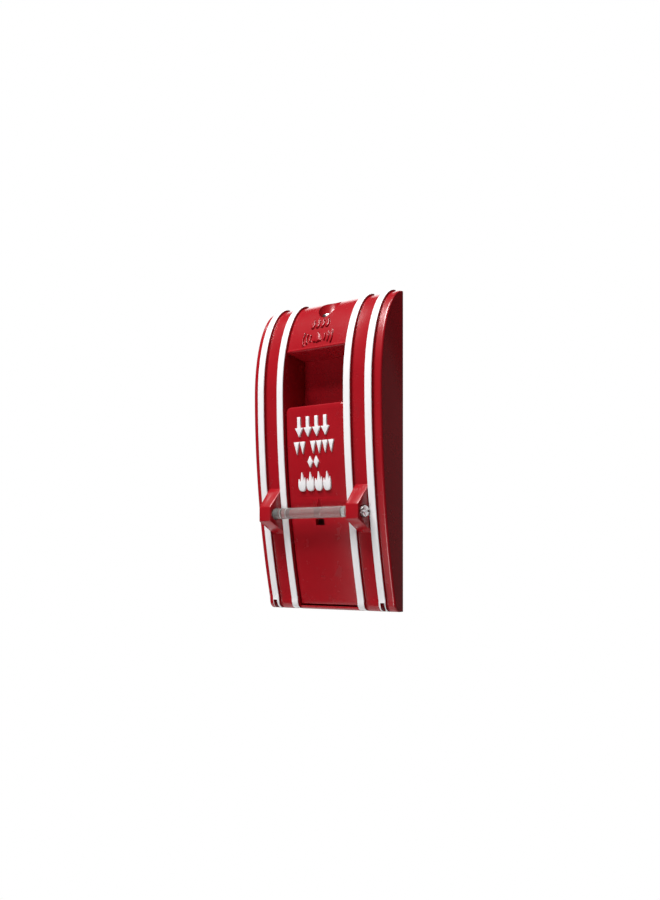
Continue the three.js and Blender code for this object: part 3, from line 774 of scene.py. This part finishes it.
# %% Hollow of the bowl, screw holes, ear slots and pin bores
hollow_profile = [(0, bowl_z), (3.9, bowl_z), (4.2, bowl_z + 0.3)]
hollow_profile += [(6.0, TOP), (7.0, TOP + 3), (0, TOP + 3)]
cuts = [turned(hollow_profile, "Z", **LOCK), bar(1.8, bowl_z - 3, bowl_z + 1, "Z", **LOCK)]
for side in (-1, 1):
    ear = EAR_X * side
    cuts.append(slab((ear - 1.05, ear + 1.05), (-1, 12), (BOTTOM - 1, HINGE_TOP + 0.2)))
    for z in (BRACKET_Z, BLOCK_Z):
        cuts.append(bar(SCREW_HOLE, 4, 8, "Y", x=SCREW_X * side, z=z, steps=24))
cuts.append(bar(PIVOT_BORE, -21, 21, "X", **PIVOT, steps=32))
for x in ((-32.3, -27.5), (27.5, 32.3)):
    cuts.append(bar(HINGE_BORE, *x, "X", **HINGE, steps=24))
cut(cover, *cuts)
finish(cover, "cover", "front_cover")
print("casting watertight:", closed(cover), "faces", len(cover.data.polygons))

# %% [markdown]
# ## Holders for the glass rod
#
# A wedge stands in each valley, and the rod slides in through a bore in the right one. The wedge is
# a side outline pushed across the valley, and its right side leans in towards the front, as cast
# walls do to leave the mould. Then its edges are rounded and the bore is cut.

# %% Rod holders
TOP_EDGE_Z, FOOT_EDGE_Z = -15.4, -36.2
LEAN = 1.1
holder_line = [
    (14, -15),
    (sweep(TOP_EDGE_Z, RIB_HEIGHT) + 0.1, TOP_EDGE_Z),
    (23.6, -24.2),
    (23.6, -30.7),
    (sweep(FOOT_EDGE_Z, RIB_HEIGHT) + 0.1, FOOT_EDGE_Z),
    (12, -36.6),
]
for name, x0, x1, bore in (
    ("rod_holder_left", -OUTER_RIB, -INNER_RIB - RIB_WIDTH, (-26.4, -19)),
    ("rod_holder_right", INNER_RIB + RIB_WIDTH, OUTER_RIB, (19, 29)),
):
    wedge = side_prism(holder_line, x0, x1)
    for vert in wedge.verts:
        if vert.co.x > x1 - 0.01 and vert.co.y < -20:
            vert.co.x -= LEAN
    holder = as_object(name, eased(wedge, 0.4, 3, 20), RED)
    cut(holder, bar(2.8, *bore, "X", **ROD, steps=64))
    finish(holder, "cover")
    print(name, "watertight:", closed(holder))

# %% [markdown]
# ## The glass rod and its screw
#
# The rod snaps at the handle's edges, so it is three pieces: the middle one rides on the handle and
# the stubs stay in their holders. Each is a turned bar with fire-polished ends. The retaining screw
# is a slotted plug in the right holder.

# %% Glass rod and retaining screw
ROD_RADIUS = 2.5
for side, body in (("left", "cover"), ("middle", "handle"), ("right", "cover")):
    node = "glass_rod_" + side
    glass = bar(ROD_RADIUS, *span(node)[0], "X", **ROD, chamfer=0.12, steps=64)
    finish(as_object(node + "_clear", glass, GLASS), body, node)

start, end = span("rod_retainer_screw")[0]
plug = [(0, start), (2.3, start), (ROD_RADIUS, start + 0.2), (ROD_RADIUS, end - 0.35)]
plug += [(2.2, end), (0, end)]
retainer = as_object("rod_retainer_plug", turned(plug, "X", **ROD), NICKEL)
forward, z = ROD["forward"], ROD["z"]
cut(retainer, slab((end - 0.8, end + 1), (forward - 4, forward + 4), (z - 0.45, z + 0.45)))
finish(retainer, "retainer", "rod_retainer_screw")
print("rod from", round(span("glass_rod_left")[0][0], 1), "to", round(end, 1), "mm")

# %% [markdown]
# ## The pull handle
#
# The handle is a casting too: a plate that follows the sweep, with round top corners, stiffening
# flanges behind its long edges, a grip bar at the top and a hinge barrel at its foot. The plate
# comes from the side line, and the round corners from a Boolean with its front outline. On its face
# is the ridge that the rod snaps over, with the mould's core slot under it.

# %% Pull handle
HANDLE_TOP, HANDLE_BOTTOM, HANDLE_HALF = 20.8, -68.6, 16.2
PLATE = 2.2
CORNER = 2.6


def sweep_band(inset, thickness, z0, z1, count=44):
    """A (forward, z) outline of a band that follows the sweep."""
    heights = [z1 + (z0 - z1) * i / count for i in range(count + 1)]
    front = [(sweep(z, inset), z) for z in heights]
    return front + [(sweep(z, inset + thickness), z) for z in reversed(heights)]


band = sweep_band(HANDLE_INSET, PLATE, HANDLE_BOTTOM, HANDLE_TOP)
handle = as_object("pull_handle_casting", side_prism(band, -HANDLE_HALF, HANDLE_HALF), RED)
handle_x = (-HANDLE_HALF - 0.01, HANDLE_HALF + 0.01)
corners = rounded_outline(handle_x, (HANDLE_BOTTOM - 20, HANDLE_TOP + 0.01), CORNER, 8)
combine(handle, "INTERSECT", front_prism(corners, -5, 40))


def soften(piece, width, segments, keep, sharper_than=40):
    """Rounds the sharp edges of a finished mesh where keep(middle of the edge, in mm) is true."""
    bm = bmesh.new()
    bm.from_mesh(piece.data)
    limit = math.radians(sharper_than)
    edges = []
    for e in bm.edges:
        middle = (e.verts[0].co + e.verts[1].co) * 500
        if e.is_manifold and e.calc_face_angle(0) > limit and keep(middle):
            edges.append(e)
    bevelled(bm, edges, width / 1000, segments).to_mesh(piece.data)
    bm.free()


soften(handle, 0.6, 3, lambda p: -p.y > sweep(p.z, HANDLE_INSET + 0.5))
print("handle plate watertight:", closed(handle))

# %% Flanges, grip, barrel, pad and striker
arm_x, arm_forward, arm_z = span("actuator_arm")
pad_rear = arm_forward[1] + 0.3
flange_band = sweep_band(HANDLE_INSET + 0.6, 2.8, -58, HANDLE_TOP - 2)
flange = side_prism(flange_band, HANDLE_HALF - 1.5, HANDLE_HALF - 0.02)
grip_x = (-HANDLE_HALF + 0.6, HANDLE_HALF - 0.6)
grip = slab(grip_x, (11.5, 17), (HANDLE_TOP - 2.4, HANDLE_TOP - 0.3), 0.5)
barrel = bar(2.8, -13, 13, "X", **PIVOT, chamfer=0.3)
pad = slab((-8, 8), (pad_rear, pad_rear + 2), (arm_z[0] - 0.2, arm_z[1] + 0.2), 0.3)


def striker():
    """The ridge on the handle: a wedge with its crest just behind the rod."""
    crest = span("glass_rod_middle")[1][0] - 0.3
    foot, shoulder, tip = -29.6, -24, -18
    low, high = sweep(foot, HANDLE_INSET) - 1.2, sweep(tip, HANDLE_INSET) - 1.2
    points = [(-2.6, low, foot), (2.6, low, foot), (0, crest, foot)]
    points += [(0, crest, shoulder), (-0.4, high, tip), (0.4, high, tip)]
    bm = bmesh.new()
    for x, forward, z in points:
        bm.verts.new((x, -forward, z))
    bmesh.ops.convex_hull(bm, input=bm.verts)
    bmesh.ops.recalc_face_normals(bm, faces=bm.faces)
    return bm


add(handle, mirrored(flange), grip, barrel, pad, striker())
arm_screw = axis_of("actuator_screw_right", "x", "z")
arm_holes = [(arm_screw["x"] * side, arm_screw["z"]) for side in (-1, 1)]
cuts = [bar(PIVOT_BORE, -20, 20, "X", **PIVOT, steps=32), slab((-2.6, 2.2), (8, 20), (-32.6, -29.9))]
for (x, z), room in zip(arm_holes, ((-17, -13.3), (13.3, 17))):
    cuts.append(bar(SCREW_HOLE, 5, pad_rear + 2.5, "Y", x=x, z=z, steps=24))
    cuts.append(bar(2.5, *room, "X", **PIVOT))
cut(handle, *cuts)
finish(handle, "handle", "pull_handle")
print("handle watertight:", closed(handle), "faces", len(handle.data.polygons))

# %% [markdown]
# ## Raised marks
#
# The real handle says what to do in raised white relief. Here generic signs say it without words:
# four arrows and a row of triangles that point down, two diamonds, and four flames. The brow has
# flames over an alarm bell with its sound waves, left red. Each sign is a flat outline pushed
# forward, then laid on the curved surface by moving every point out by the surface's own height
# there.


# %% Outlines of the signs
def arrow(x, z, w, h):
    """An arrow that points down, with its foot at z."""
    half, stem, head = w / 2, w * 0.19, h * 0.46
    right = [(half, head), (stem, head), (stem, h)]
    left = [(-u, v) for u, v in reversed(right)]
    return [(x + u, z + v) for u, v in [(0, 0)] + right + left]


def triangle(x, z, w, h):
    return [(x, z), (x + w / 2, z + h), (x - w / 2, z + h)]


def diamond(x, z, w, h):
    return [(x, z), (x + w / 2, z + h / 2), (x, z + h), (x - w / 2, z + h / 2)]


FLAME = [(0, 0), (0.26, 0.03), (0.43, 0.14), (0.5, 0.32), (0.48, 0.52), (0.4, 0.74), (0.29, 0.5)]
FLAME += [(0.22, 0.6), (0.16, 0.8), (0.02, 1), (-0.06, 0.78), (-0.15, 0.58), (-0.24, 0.46)]
FLAME += [(-0.3, 0.52), (-0.4, 0.66), (-0.48, 0.46), (-0.5, 0.3), (-0.42, 0.13), (-0.25, 0.03)]
BELL = [(0, 0), (0.1, 0.02), (0.14, 0.1), (0.5, 0.1), (0.5, 0.16), (0.42, 0.24), (0.34, 0.4)]
BELL += [(0.3, 0.66), (0.2, 0.84), (0.06, 0.9), (0.06, 1)]
BELL += [(-u, v) for u, v in BELL[:0:-1]]


def placed(unit, x, z, w, h):
    """An outline that is one wide and one high, stretched and moved to its place."""
    return [(x + u * w, z + v * h) for u, v in unit]


def wave(x, z, radius, width, start, end, steps=8):
    """A curved stroke, part of a ring round (x, z), for the sound of the bell."""
    points = []
    for r, a, b in ((radius + width, start, end), (radius, end, start)):
        for i in range(steps + 1):
            angle = math.radians(a + (b - a) * i / steps)
            points.append((x + r * math.cos(angle), z + r * math.sin(angle)))
    return points


# %% Lay the signs on the surfaces
def relief(outlines, surface, height, sunk=0.5, ease=0.18):
    """Outlines pushed forward by a height and laid on the surface given as forward(z)."""
    signs = []
    for points in outlines:
        bm = front_prism(points, -sunk, height)
        long_edges = [e for e in bm.edges if e.calc_length() > 3]
        bmesh.ops.subdivide_edges(bm, edges=long_edges, cuts=2)
        front = [e for e in bm.edges if all(-v.co.y > height - 0.01 for v in e.verts)]
        rim = [e for e in front if len(e.link_faces) == 2 and e.calc_face_angle(0) > 0.5]
        bevelled(bm, rim, ease, 2)
        bmesh.ops.triangulate(bm, faces=[f for f in bm.faces if len(f.verts) > 4])
        for vert in bm.verts:
            vert.co.y -= surface(vert.co.z)
        bmesh.ops.recalc_face_normals(bm, faces=bm.faces)
        signs.append(bm)
    return joined(*signs)


handle_signs = [arrow(x, 6.9, 4.4, 9.0) for x in (-8.6, -3.8, 1.0, 5.8)]
handle_signs += [triangle(x, -0.8, 2.9, 5.6) for x in (-10.2, -6.9, -1.1, 2.2, 5.5, 8.8)]
handle_signs += [diamond(x, -7.0, 2.7, 5.2) for x in (-3.1, 0.3)]
handle_signs += [placed(FLAME, x, -17.4, 4.2, 8.6) for x in (-8.2, -3.6, 1.0, 5.6)]
handle_marks = relief(handle_signs, lambda z: sweep(z, HANDLE_INSET), 0.75)
finish(as_object("handle_signs", handle_marks, WHITE), "handle", smooth=50)

brow_signs = [placed(FLAME, x, 56.2, 2.2, 4.4) for x in (-4.4, -1.8, 0.8, 3.4)]
brow_signs += [placed(BELL, -0.5, 49.2, 4.6, 4.8)]
for side in (0, 180):
    for radius in (3.6, 5.6, 7.6):
        brow_signs.append(wave(-0.5, 51.4, radius, 0.8, side - 22, side + 22))
brow_marks = relief(brow_signs, lambda z: brow(z, RIB_HEIGHT, RIB_TOP_STEP), 0.7)
finish(as_object("brow_signs", brow_marks, RED), "cover", smooth=50)
print("signs", len(handle_signs), "on the handle and", len(brow_signs), "on the brow")

# %% [markdown]
# ## Screws
#
# Every screw is one spun profile: a domed head, a neck, a thread and a point. The thread is a stack
# of rings rather than a helix. At this size the eye can't tell, and it keeps the mesh light and
# closed. The place, the size and the direction come from the box of the plain screw, and a slab
# cuts the slot.


# %% Screws from their own boxes
def threaded(radius, start, end, pitch=0.5, depth=0.13):
    """Profile points of a thread between two places along the axis."""
    count = max(1, round(abs(end - start) / pitch))
    step = (end - start) / count
    points = []
    for i in range(count):
        points += [(radius - depth, start + i * step), (radius, start + (i + 0.5) * step)]
    return points + [(radius - depth, end)]


def screw(node, body, material, head, ratio=0.5, axis="Y", head_high=False, slot=0.6, hexagon=0.0):
    """A machine screw in the place of a plain one. head is the head's height."""
    x, forward, z = span(node)
    low, high = {"X": x, "Y": forward, "Z": z}[axis]
    at = axis_of(node, "x", "forward", "z")
    at[{"X": "x", "Y": "forward", "Z": "z"}[axis]] = 0
    radius = (z[1] - z[0] if axis == "Y" else x[1] - x[0]) / 2
    shank = radius * ratio
    sign, start, tip = (-1, high, low) if head_high else (1, low, high)
    profile = [(0, 0), (radius * 0.72, 0.06), (radius * 0.94, 0.28), (radius, 0.6)]
    profile += [(radius, head - 0.12), (radius - 0.12, head), (shank, head)]
    profile = [(r, start + sign * along) for r, along in profile]
    profile += threaded(shank, start + sign * (head + 0.3), tip - sign * 0.45)
    profile += [(shank * 0.6, tip), (0, tip)]
    drive = sorted((start - sign * 1, start + sign * head * 0.42))
    if hexagon:
        tool = bar(hexagon, start - head * 0.6, start + 1, axis, steps=6, **at)
    else:
        wide = (at["x"] - radius - 1, at["x"] + radius + 1)
        tool = slab(wide, drive, (at["z"] - slot / 2, at["z"] + slot / 2))
    return fine(node, body, material, turned(profile, axis, steps=32, **at), cuts=[tool])


for node in ("bracket_screw_left", "bracket_screw_right", "block_screw_left", "block_screw_right"):
    screw(node, "cover", ZINC, 1.6)
for node in ("actuator_screw_left", "actuator_screw_right"):
    screw(node, "handle", ZINC, 1.6)
for number in range(1, 5):
    screw(f"terminal_screw_{number}", "cover", NICKEL, 1.3, 0.51, slot=0.5)
screw("ground_screw", "wall", GREEN, 1.7, 0.46, head_high=True, slot=0.7)
screw("lock_screw", "lock", NICKEL, 2.4, 0.47, "Z", True, hexagon=1.6)
print("screws", 12)

# %% [markdown]
# ## Wall plate
#
# The plate is stamped from sheet steel: round corners, a window for the wiring, raised seats round
# the wall screws, a folded keeper for the lock at the top and two ears for the hinge at the foot.
# Holes are cut at the end, when everything they pass through is in place.

# %% Wall plate
PLATE_X, _, (_, PLATE_TOP) = span("mounting_plate")
SHEET, SHEET_BOTTOM = 1.6, -62
sheet = front_prism(rounded_outline(PLATE_X, (SHEET_BOTTOM, PLATE_TOP), 3.0), 0, SHEET)
plate = as_object("wall_plate", eased(sheet, 0.2), ZINC)
keeper_line = [(0.3, PLATE_TOP - SHEET), (0.3, PLATE_TOP - 0.02)]
keeper_line += [(10.5, PLATE_TOP - 0.02), (10.5, PLATE_TOP - SHEET)]
ear_line = [(0.2, -57), (1.5, -57), (4.4, -66.5), (6, -68.2), (3.4, -70.4), (0.3, -64.5)]
additions = [eased(side_prism(keeper_line, -7, 7), 0.2)]
for side in (-1, 1):
    x0, x1 = EAR_X * side - 0.6, EAR_X * side + 0.6
    additions.append(side_prism(ear_line, x0, x1))
    additions.append(bar(1.8, x0 - 0.01, x1 + 0.01, "X", **HINGE, steps=32))
SEATS = [(x, z) for x in (-23, 23) for z in (-41.65, 41.65)]
seat_profile = [(0, 0.5), (5.0, 0.5), (4.2, 2.1), (3.6, 2.1), (0, 2.1)]
additions += [turned(seat_profile, "Y", x=x, z=z) for x, z in SEATS]
add(plate, *additions)

above = (PLATE_TOP - 3, PLATE_TOP + 1)
cuts = [
    front_prism(rounded_outline((-16.2, 16.2), (-58.5, -1.2), 2.0), -1, 3),
    slab((-1.9, 1.9), (LOCK["forward"], 12), above),
    bar(1.9, *above, "Z", **LOCK, steps=32),
    bar(SCREW_HOLE, -1, 3, "Y", **axis_of("ground_screw", "x", "z"), steps=32),
]
cuts += [bar(2.2, -1, 4, "Y", x=x, z=z, steps=40) for x, z in SEATS]
cuts += [bar(HINGE_BORE, x - 1, x + 1, "X", **HINGE, steps=24) for x in (-EAR_X, EAR_X)]
cut(plate, *cuts)
finish(plate, "wall", "mounting_plate")
print("plate watertight:", closed(plate))

# %% [markdown]
# ## Pins, clips, nuts and washers
#
# These are all turned or stamped: a bar or a ring, sometimes with a mouth or a split cut in it. The
# hexagon nut is a six-sided bar, and its corners are chamfered by keeping only what a cone shares.

# %% Pins, clips, nuts and washers
for node in ("cover_hinge_pin_left", "cover_hinge_pin_right"):
    at = axis_of(node, "forward", "z")
    fine(node, "cover", NICKEL, bar(0.8, *span(node)[0], "X", **at, chamfer=0.15, steps=32))

half = [(1.25, 18.7), (0.85, 18.72), (0.85, 19.58), (1.25, 19.6), (1.25, 20.15)]
half += [(1.0, 20.4), (0, 20.4)]
pivot_pin = turned([(r, -a) for r, a in reversed(half)] + half, "X", **PIVOT, steps=32)
finish(as_object("pivot_pin_fine", pivot_pin, NICKEL), "cover", "handle_pivot_pin")

forward, z = PIVOT["forward"], PIVOT["z"]
for node in ("pin_clip_left", "pin_clip_right"):
    x = span(node)[0]
    through = (x[0] - 1, x[1] + 1)
    cuts = [slab(through, (forward - 0.8, forward + 0.8), (z, z + 4))]
    for notch in (forward - 1.2, forward + 1.2):
        cuts.append(slab(through, (notch - 0.5, notch + 0.5), (z - 2.1, z - 1.0)))
    fine(node, "cover", SPRING, ring(2.8, 1.15, *x, "X", chamfer=0.05, **PIVOT), cuts=cuts)

at = axis_of("ground_washer", "x", "z")
washer = ring(3.2, 1.5, *span("ground_washer")[1], "Y", **at)
fine("ground_washer", "wall", BRASS, washer)

x, forward, z = span("lock_nut")
bore = bar(1.8, z[0] - 1, z[1] + 1, "Z", **axis_of("lock_nut", "forward"), steps=32)
fine("lock_nut", "cover", BRASS, slab(x, forward, z, 0.25), cuts=[bore])
print("pins, clips, washer and nut", 7)

# %% [markdown]
# ## The toggle switch
#
# A steel bracket between the cheeks carries a common toggle switch: a phenolic body in a steel
# frame, a threaded bushing with a nut and a split washer, three solder tags and a bat lever. The
# lever leans to its rest angle, and it is turned about the ball in the bushing's mouth.

# %% Bracket, frame, body and tags
x, forward, z = span("switch_bracket")
tray = slab((-9.5, 9.5), forward, (-36.2, -35), 0.3)
flaps = mirrored(front_prism(rounded_outline((8.3, x[1]), z, 1.2), 3.0, 4.2))
cuts = [bar(3.3, -38, -33, "Z", **SWITCH)]
cuts += [bar(SCREW_HOLE, 1, 6, "Y", x=SCREW_X * side, z=BRACKET_Z, steps=24) for side in (-1, 1)]
fine("switch_bracket", "cover", ZINC, tray, [flaps], cuts)

x, forward, z = span("switch_frame")
profile = [(2.5, z[0]), (2.75, z[0])] + threaded(3.0, z[0] + 0.3, -35.0, 0.6, 0.16)
profile += [(2.9, -34.4), (2.3, -34.4), (2.5, z[0])]
bushing = turned(profile, "Z", **SWITCH)
switch_frame = as_object("switch_frame_fine", slab(x, forward, (-34.7, -33.9), 0.15), NICKEL)
cut(switch_frame, bar(2.4, -36, -32, "Z", **SWITCH))
add(switch_frame, bushing, mirrored(slab((6.2, 6.7), (-1.0, 4.2), (-34.6, z[1]), 0.12)))
finish(switch_frame, "cover", "switch_frame")

x, forward, z = span("switch_body")
seams = [slab((-7, 7), seam, (z[1] - 0.4, z[1] + 1)) for seam in ((-0.4, -0.1), (3.3, 3.6))]
fine("switch_body", "cover", PHENOLIC, slab(x, forward, z, 0.45), cuts=seams)

for node in ("switch_terminal_rear", "switch_terminal_middle", "switch_terminal_front"):
    x, forward, z = span(node)
    tag = front_prism(rounded_outline(x, z, 0.5, 4), *forward)
    eye = bar(0.6, forward[0] - 1, forward[1] + 1, "Y", z=z[1] - 1.6, steps=20)
    fine(node, "cover", BRASS, tag, cuts=[eye])

# %% Washer, nut and lever
z = span("switch_lock_washer")[2]
split = slab((-0.4, 0.4), (SWITCH["forward"], SWITCH["forward"] + 6), (z[0] - 1, z[1] + 1))
washer = ring(4.6, 3.3, *z, "Z", chamfer=0.08, **SWITCH)
fine("switch_lock_washer", "cover", SPRING, washer, cuts=[split])

low, high = span("switch_nut")[2]
nut = as_object("switch_nut_fine", bar(5.0, low, high, "Z", **SWITCH, steps=6), BRASS)
cone = [(0, low), (4.4, low), (5.1, low + 0.4), (5.1, high - 0.4), (4.4, high), (0, high)]
combine(nut, "INTERSECT", turned(cone, "Z", **SWITCH, steps=64))
cut(nut, bar(3.3, low - 1, high + 1, "Z", **SWITCH))
finish(nut, "cover", "switch_nut")

LEVER_Z, REACH, LEVER_REST = -42, 12, math.radians(14)
profile = [(0, -REACH - 1.2), (0.6, -REACH - 1.1), (1.1, -REACH - 0.6), (1.25, -REACH)]
profile += [(1.0, -3.5), (1.1, -1.4), (1.55, -0.8), (1.7, 0), (1.6, 0.6), (1.1, 1.3)]
profile += [(0.5, 1.6), (0, 1.7)]
lever = turned(profile, "Z", steps=40)
lean = Matrix.Rotation(LEVER_REST, 3, "X")
bmesh.ops.rotate(lever, verts=lever.verts, cent=(0, 0, 0), matrix=lean)
bmesh.ops.translate(lever, vec=(0, -SWITCH["forward"], LEVER_Z), verts=lever.verts)
fine("toggle_lever", "toggle", NICKEL, lever)
print("switch pieces", 9)

# %% [markdown]
# ## Terminal block, clamps and arm
#
# The moulded block has a channel for each wire with a wall between, and the clamps are small
# pressed plates under their screws. The actuator arm is bent from one strip: a leg on the handle's
# pad and a shelf with the hole that pushes the lever over.

# %% Terminal block, clamps and actuator arm
x, forward, z = span("terminal_block")
face = forward[0] - 1
cuts = []
for wire_x in (-7.5, -2.5, 2.5, 7.5):
    channel = (wire_x - 2.1, wire_x + 2.1)
    cuts.append(slab(channel, (face, forward[0] + 1.4), (z[0] - 1, z[1] + 1)))
    cuts.append(bar(1.2, face, forward[0] + 4.6, "Y", x=wire_x, z=BLOCK_Z, steps=24))
cuts += [bar(SCREW_HOLE, 1, 6, "Y", x=SCREW_X * side, z=BLOCK_Z, steps=24) for side in (-1, 1)]
tabs = front_prism(rounded_outline(x, (-11, -4.5), 1.2), 3.0, 4.2)
block = slab((-10.2, 10.2), forward, z, 0.35)
block = fine("terminal_block", "cover", NYLON, block, [tabs], cuts)

for number in range(1, 5):
    node = f"terminal_clamp_{number}"
    x, forward, z = span(node)
    at = axis_of(node, "x", "z")
    cuts = [bar(1.2, forward[0] - 1, forward[1] + 1, "Y", **at, steps=24)]
    for groove in (z[0] + 0.5, z[0] + 3.6):
        depth = (forward[0] - 1, forward[0] + 0.15)
        cuts.append(slab((x[0] - 1, x[1] + 1), depth, (groove, groove + 0.3)))
    fine(node, "cover", BRASS, slab(x, forward, z, 0.15), cuts=cuts)

rear, front = arm_forward
foot = arm_z[0]
leg = slab(arm_x, (front - 1.2, front), arm_z, 0.2)
shelf_line = [(-5, foot + 0.01), (5, foot + 0.01), (5, foot + 1.2), (-5, foot + 1.2)]
shelf = eased(front_prism(shelf_line, rear, front - 0.4), 0.2)
cuts = [slab((-1.75, 1.75), (-3.3, 1.5), (foot - 1, foot + 2))]
cuts += [bar(SCREW_HOLE, 0, 12, "Y", x=x, z=z, steps=24) for x, z in arm_holes]
arm = fine("actuator_arm", "handle", ZINC, leg, [shelf], cuts)
print("block watertight:", closed(block), "arm watertight:", closed(arm))

# %% [markdown]
# ## Spring and leads
#
# A wire is a curve with a round bevel, which Blender turns into a tube. The spring is a helix with
# two straight legs, one on the handle and one on the foot wall. The leads run from the switch's
# tags round to the front of the block.


# %% Wires
def wire(node, body, material, points, radius, smooth_curve=False):
    """A capped round wire through the points, given as (x, forward, z)."""
    curve = bpy.data.curves.new(node, "CURVE")
    curve.dimensions = "3D"
    curve.bevel_depth = radius / 1000
    curve.bevel_resolution = 4
    curve.use_fill_caps = True
    curve.resolution_u = 10
    spline = curve.splines.new("BEZIER" if smooth_curve else "POLY")
    knots = spline.bezier_points if smooth_curve else spline.points
    knots.add(len(points) - 1)
    for knot, (x, forward, z) in zip(knots, points):
        place = (x / 1000, -forward / 1000, z / 1000)
        if smooth_curve:
            knot.co = place
            knot.handle_left_type = knot.handle_right_type = "AUTO"
        else:
            knot.co = (*place, 1)
    path = bpy.data.objects.new("path", curve)
    bpy.context.scene.collection.objects.link(path)
    graph = bpy.context.evaluated_depsgraph_get()
    mesh = bpy.data.meshes.new_from_object(path.evaluated_get(graph))
    bpy.data.objects.remove(path)
    bm = bmesh.new()
    bm.from_mesh(mesh)
    bmesh.ops.remove_doubles(bm, verts=bm.verts, dist=1e-7)
    bmesh.ops.recalc_face_normals(bm, faces=bm.faces)
    bmesh.ops.scale(bm, vec=(1000, 1000, 1000), verts=bm.verts)
    for face in bm.faces:
        face.material_index = 0
    return fine(node, body, material, bm)


COIL, COIL_PITCH, COIL_START, TURN_STEPS, TURNS_MADE = 1.85, 0.85, -13.75, 28, 2
spring = [(COIL_START, 6.6, -53.2), (COIL_START, 4.6, -57.5)]
forward, z = PIVOT["forward"], PIVOT["z"]
for i in range(TURNS_MADE * TURN_STEPS + 1):
    a = 2 * math.pi * i / TURN_STEPS
    x = COIL_START - COIL_PITCH * i / TURN_STEPS
    spring.append((x, forward - COIL * math.cos(a), z - COIL * math.sin(a)))
spring_end = COIL_START - TURNS_MADE * COIL_PITCH
spring.append((spring_end, forward - COIL - 0.2, z - 1.4))
spring.append((spring_end, forward - COIL - 0.6, z - 2.7))
wire("handle_spring", "cover", SPRING, spring, 0.3)

tag_end = span("switch_terminal_front")[2][1]
block_front = span("terminal_block")[1][1]
for node, side, start, material in (
    ("switch_lead_red", 1, SWITCH["forward"] + 4.2, RED_LEAD),
    ("switch_lead_black", -1, SWITCH["forward"], BLACK_LEAD),
):
    lead = [
        (0, start, tag_end + 0.6),
        (side * 0.4, start + 0.5, tag_end + 2.0),
        (side * 2.6, 7.4, tag_end + 2.5),
        (side * 4.8, 9.2, -10.5),
        (side * 5.2, 8.2, BLOCK_Z - 0.3),
        (side * 5.2, block_front + 0.4, BLOCK_Z),
    ]
    wire(node, "cover", material, lead, 0.65, smooth_curve=True)

# %% [markdown]
# ## Studio
#
# The camera stands to the right of the front, level, and a little below the middle, and its lens is
# shifted so that uprights stay parallel. Glossy enamel shows a light wherever it mirrors one, so
# each of the seven lights stands off the directions that the front mirrors. The large soft key is
# high on the left, and a fill below it lifts the lower half. A small light high up gives the hard
# sparkle in the bowl, and a weak one draws a line along the left shoulder. Three more work on the
# sides and the rear: low on the left, behind, and a broad faint one on the right that keeps the
# dark side from going black. The backdrop is plain white.


# %% Camera, light and floor
AZIMUTH, DISTANCE, EYE_Z = math.radians(34.9), 0.4233, -0.047
LENS, SENSOR, SHIFT = 36.72, 36, (-0.0092, 0.119)


def add_camera():
    data = bpy.data.cameras.new("camera")
    data.lens, data.sensor_width = LENS, SENSOR
    data.shift_x, data.shift_y = SHIFT
    data.clip_start = 0.01
    camera = bpy.data.objects.new("camera", data)
    camera.location = (DISTANCE * math.sin(AZIMUTH), -DISTANCE * math.cos(AZIMUTH), EYE_Z)
    camera.rotation_euler = (math.pi / 2, 0, AZIMUTH)
    bpy.context.scene.collection.objects.link(camera)
    bpy.context.scene.camera = camera


def add_light(name, place, size, watts, target=(0, 0, 0)):
    data = bpy.data.lights.new(name, "AREA")
    data.shape = "DISK"
    data.size = size
    data.energy = watts
    light = bpy.data.objects.new(name, data)
    light.location = place
    light.visible_camera = False
    light.rotation_euler = (Vector(target) - light.location).to_track_quat("-Z", "Y").to_euler()
    bpy.context.scene.collection.objects.link(light)


def add_world(glow):
    """White to the eye, and a dim grey for the light that it gives."""
    world = bpy.data.worlds.new("studio")
    bpy.context.scene.world = world
    world.use_nodes = True
    tree = world.node_tree
    tree.nodes.clear()
    seen = Value(tree, tree.nodes.new("ShaderNodeLightPath").outputs["Is Camera Ray"])
    dim, white = (
        seen.node("ShaderNodeBackground", None, {"Color": rgb(1, 1, 1), "Strength": strength})
        for strength in (glow, 1.0)
    )
    both = seen.node("ShaderNodeMixShader", None, {0: seen, 1: dim, 2: white})
    seen.node("ShaderNodeOutputWorld", None, {"Surface": both})


def pale(place):
    speckle = place.noise(60, 4.0, 0.6)
    return {
        "Base Color": speckle.mix(rgb(0.84, 0.84, 0.84), rgb(0.88, 0.88, 0.88)),
        "Roughness": speckle * 0.1 + 0.7,
    }


def add_floor(radius, depth):
    bm = bmesh.new()
    bmesh.ops.create_circle(bm, cap_ends=True, segments=96, radius=radius)
    bmesh.ops.translate(bm, vec=(0, 0, -depth), verts=bm.verts)
    as_object("floor", bm, finish_of("pale_floor", pale))


bpy.context.scene.view_settings.view_transform = "Standard"
add_camera()
add_world(0.022)
add_light("key", (-0.12, -0.60, 1.03), 0.6, 23)
add_light("fill", (-0.05, -1.0, -0.42), 0.3, 3.0)
add_light("sparkle", (0.27, -0.12, 0.75), 0.12, 0.65, (0, 0, 0.05))
add_light("edge", (-0.70, -0.10, 0.75), 0.08, 0.12)
add_light("side", (-0.95, 0.12, -0.22), 0.25, 0.8)
add_light("rear", (-0.70, 1.1, 0.55), 1.5, 10)
add_light("sheen", (0.62, 0.90, 0.0), 0.8, 0.17)
add_floor(700, 500)
print("lights", len(bpy.data.lights))
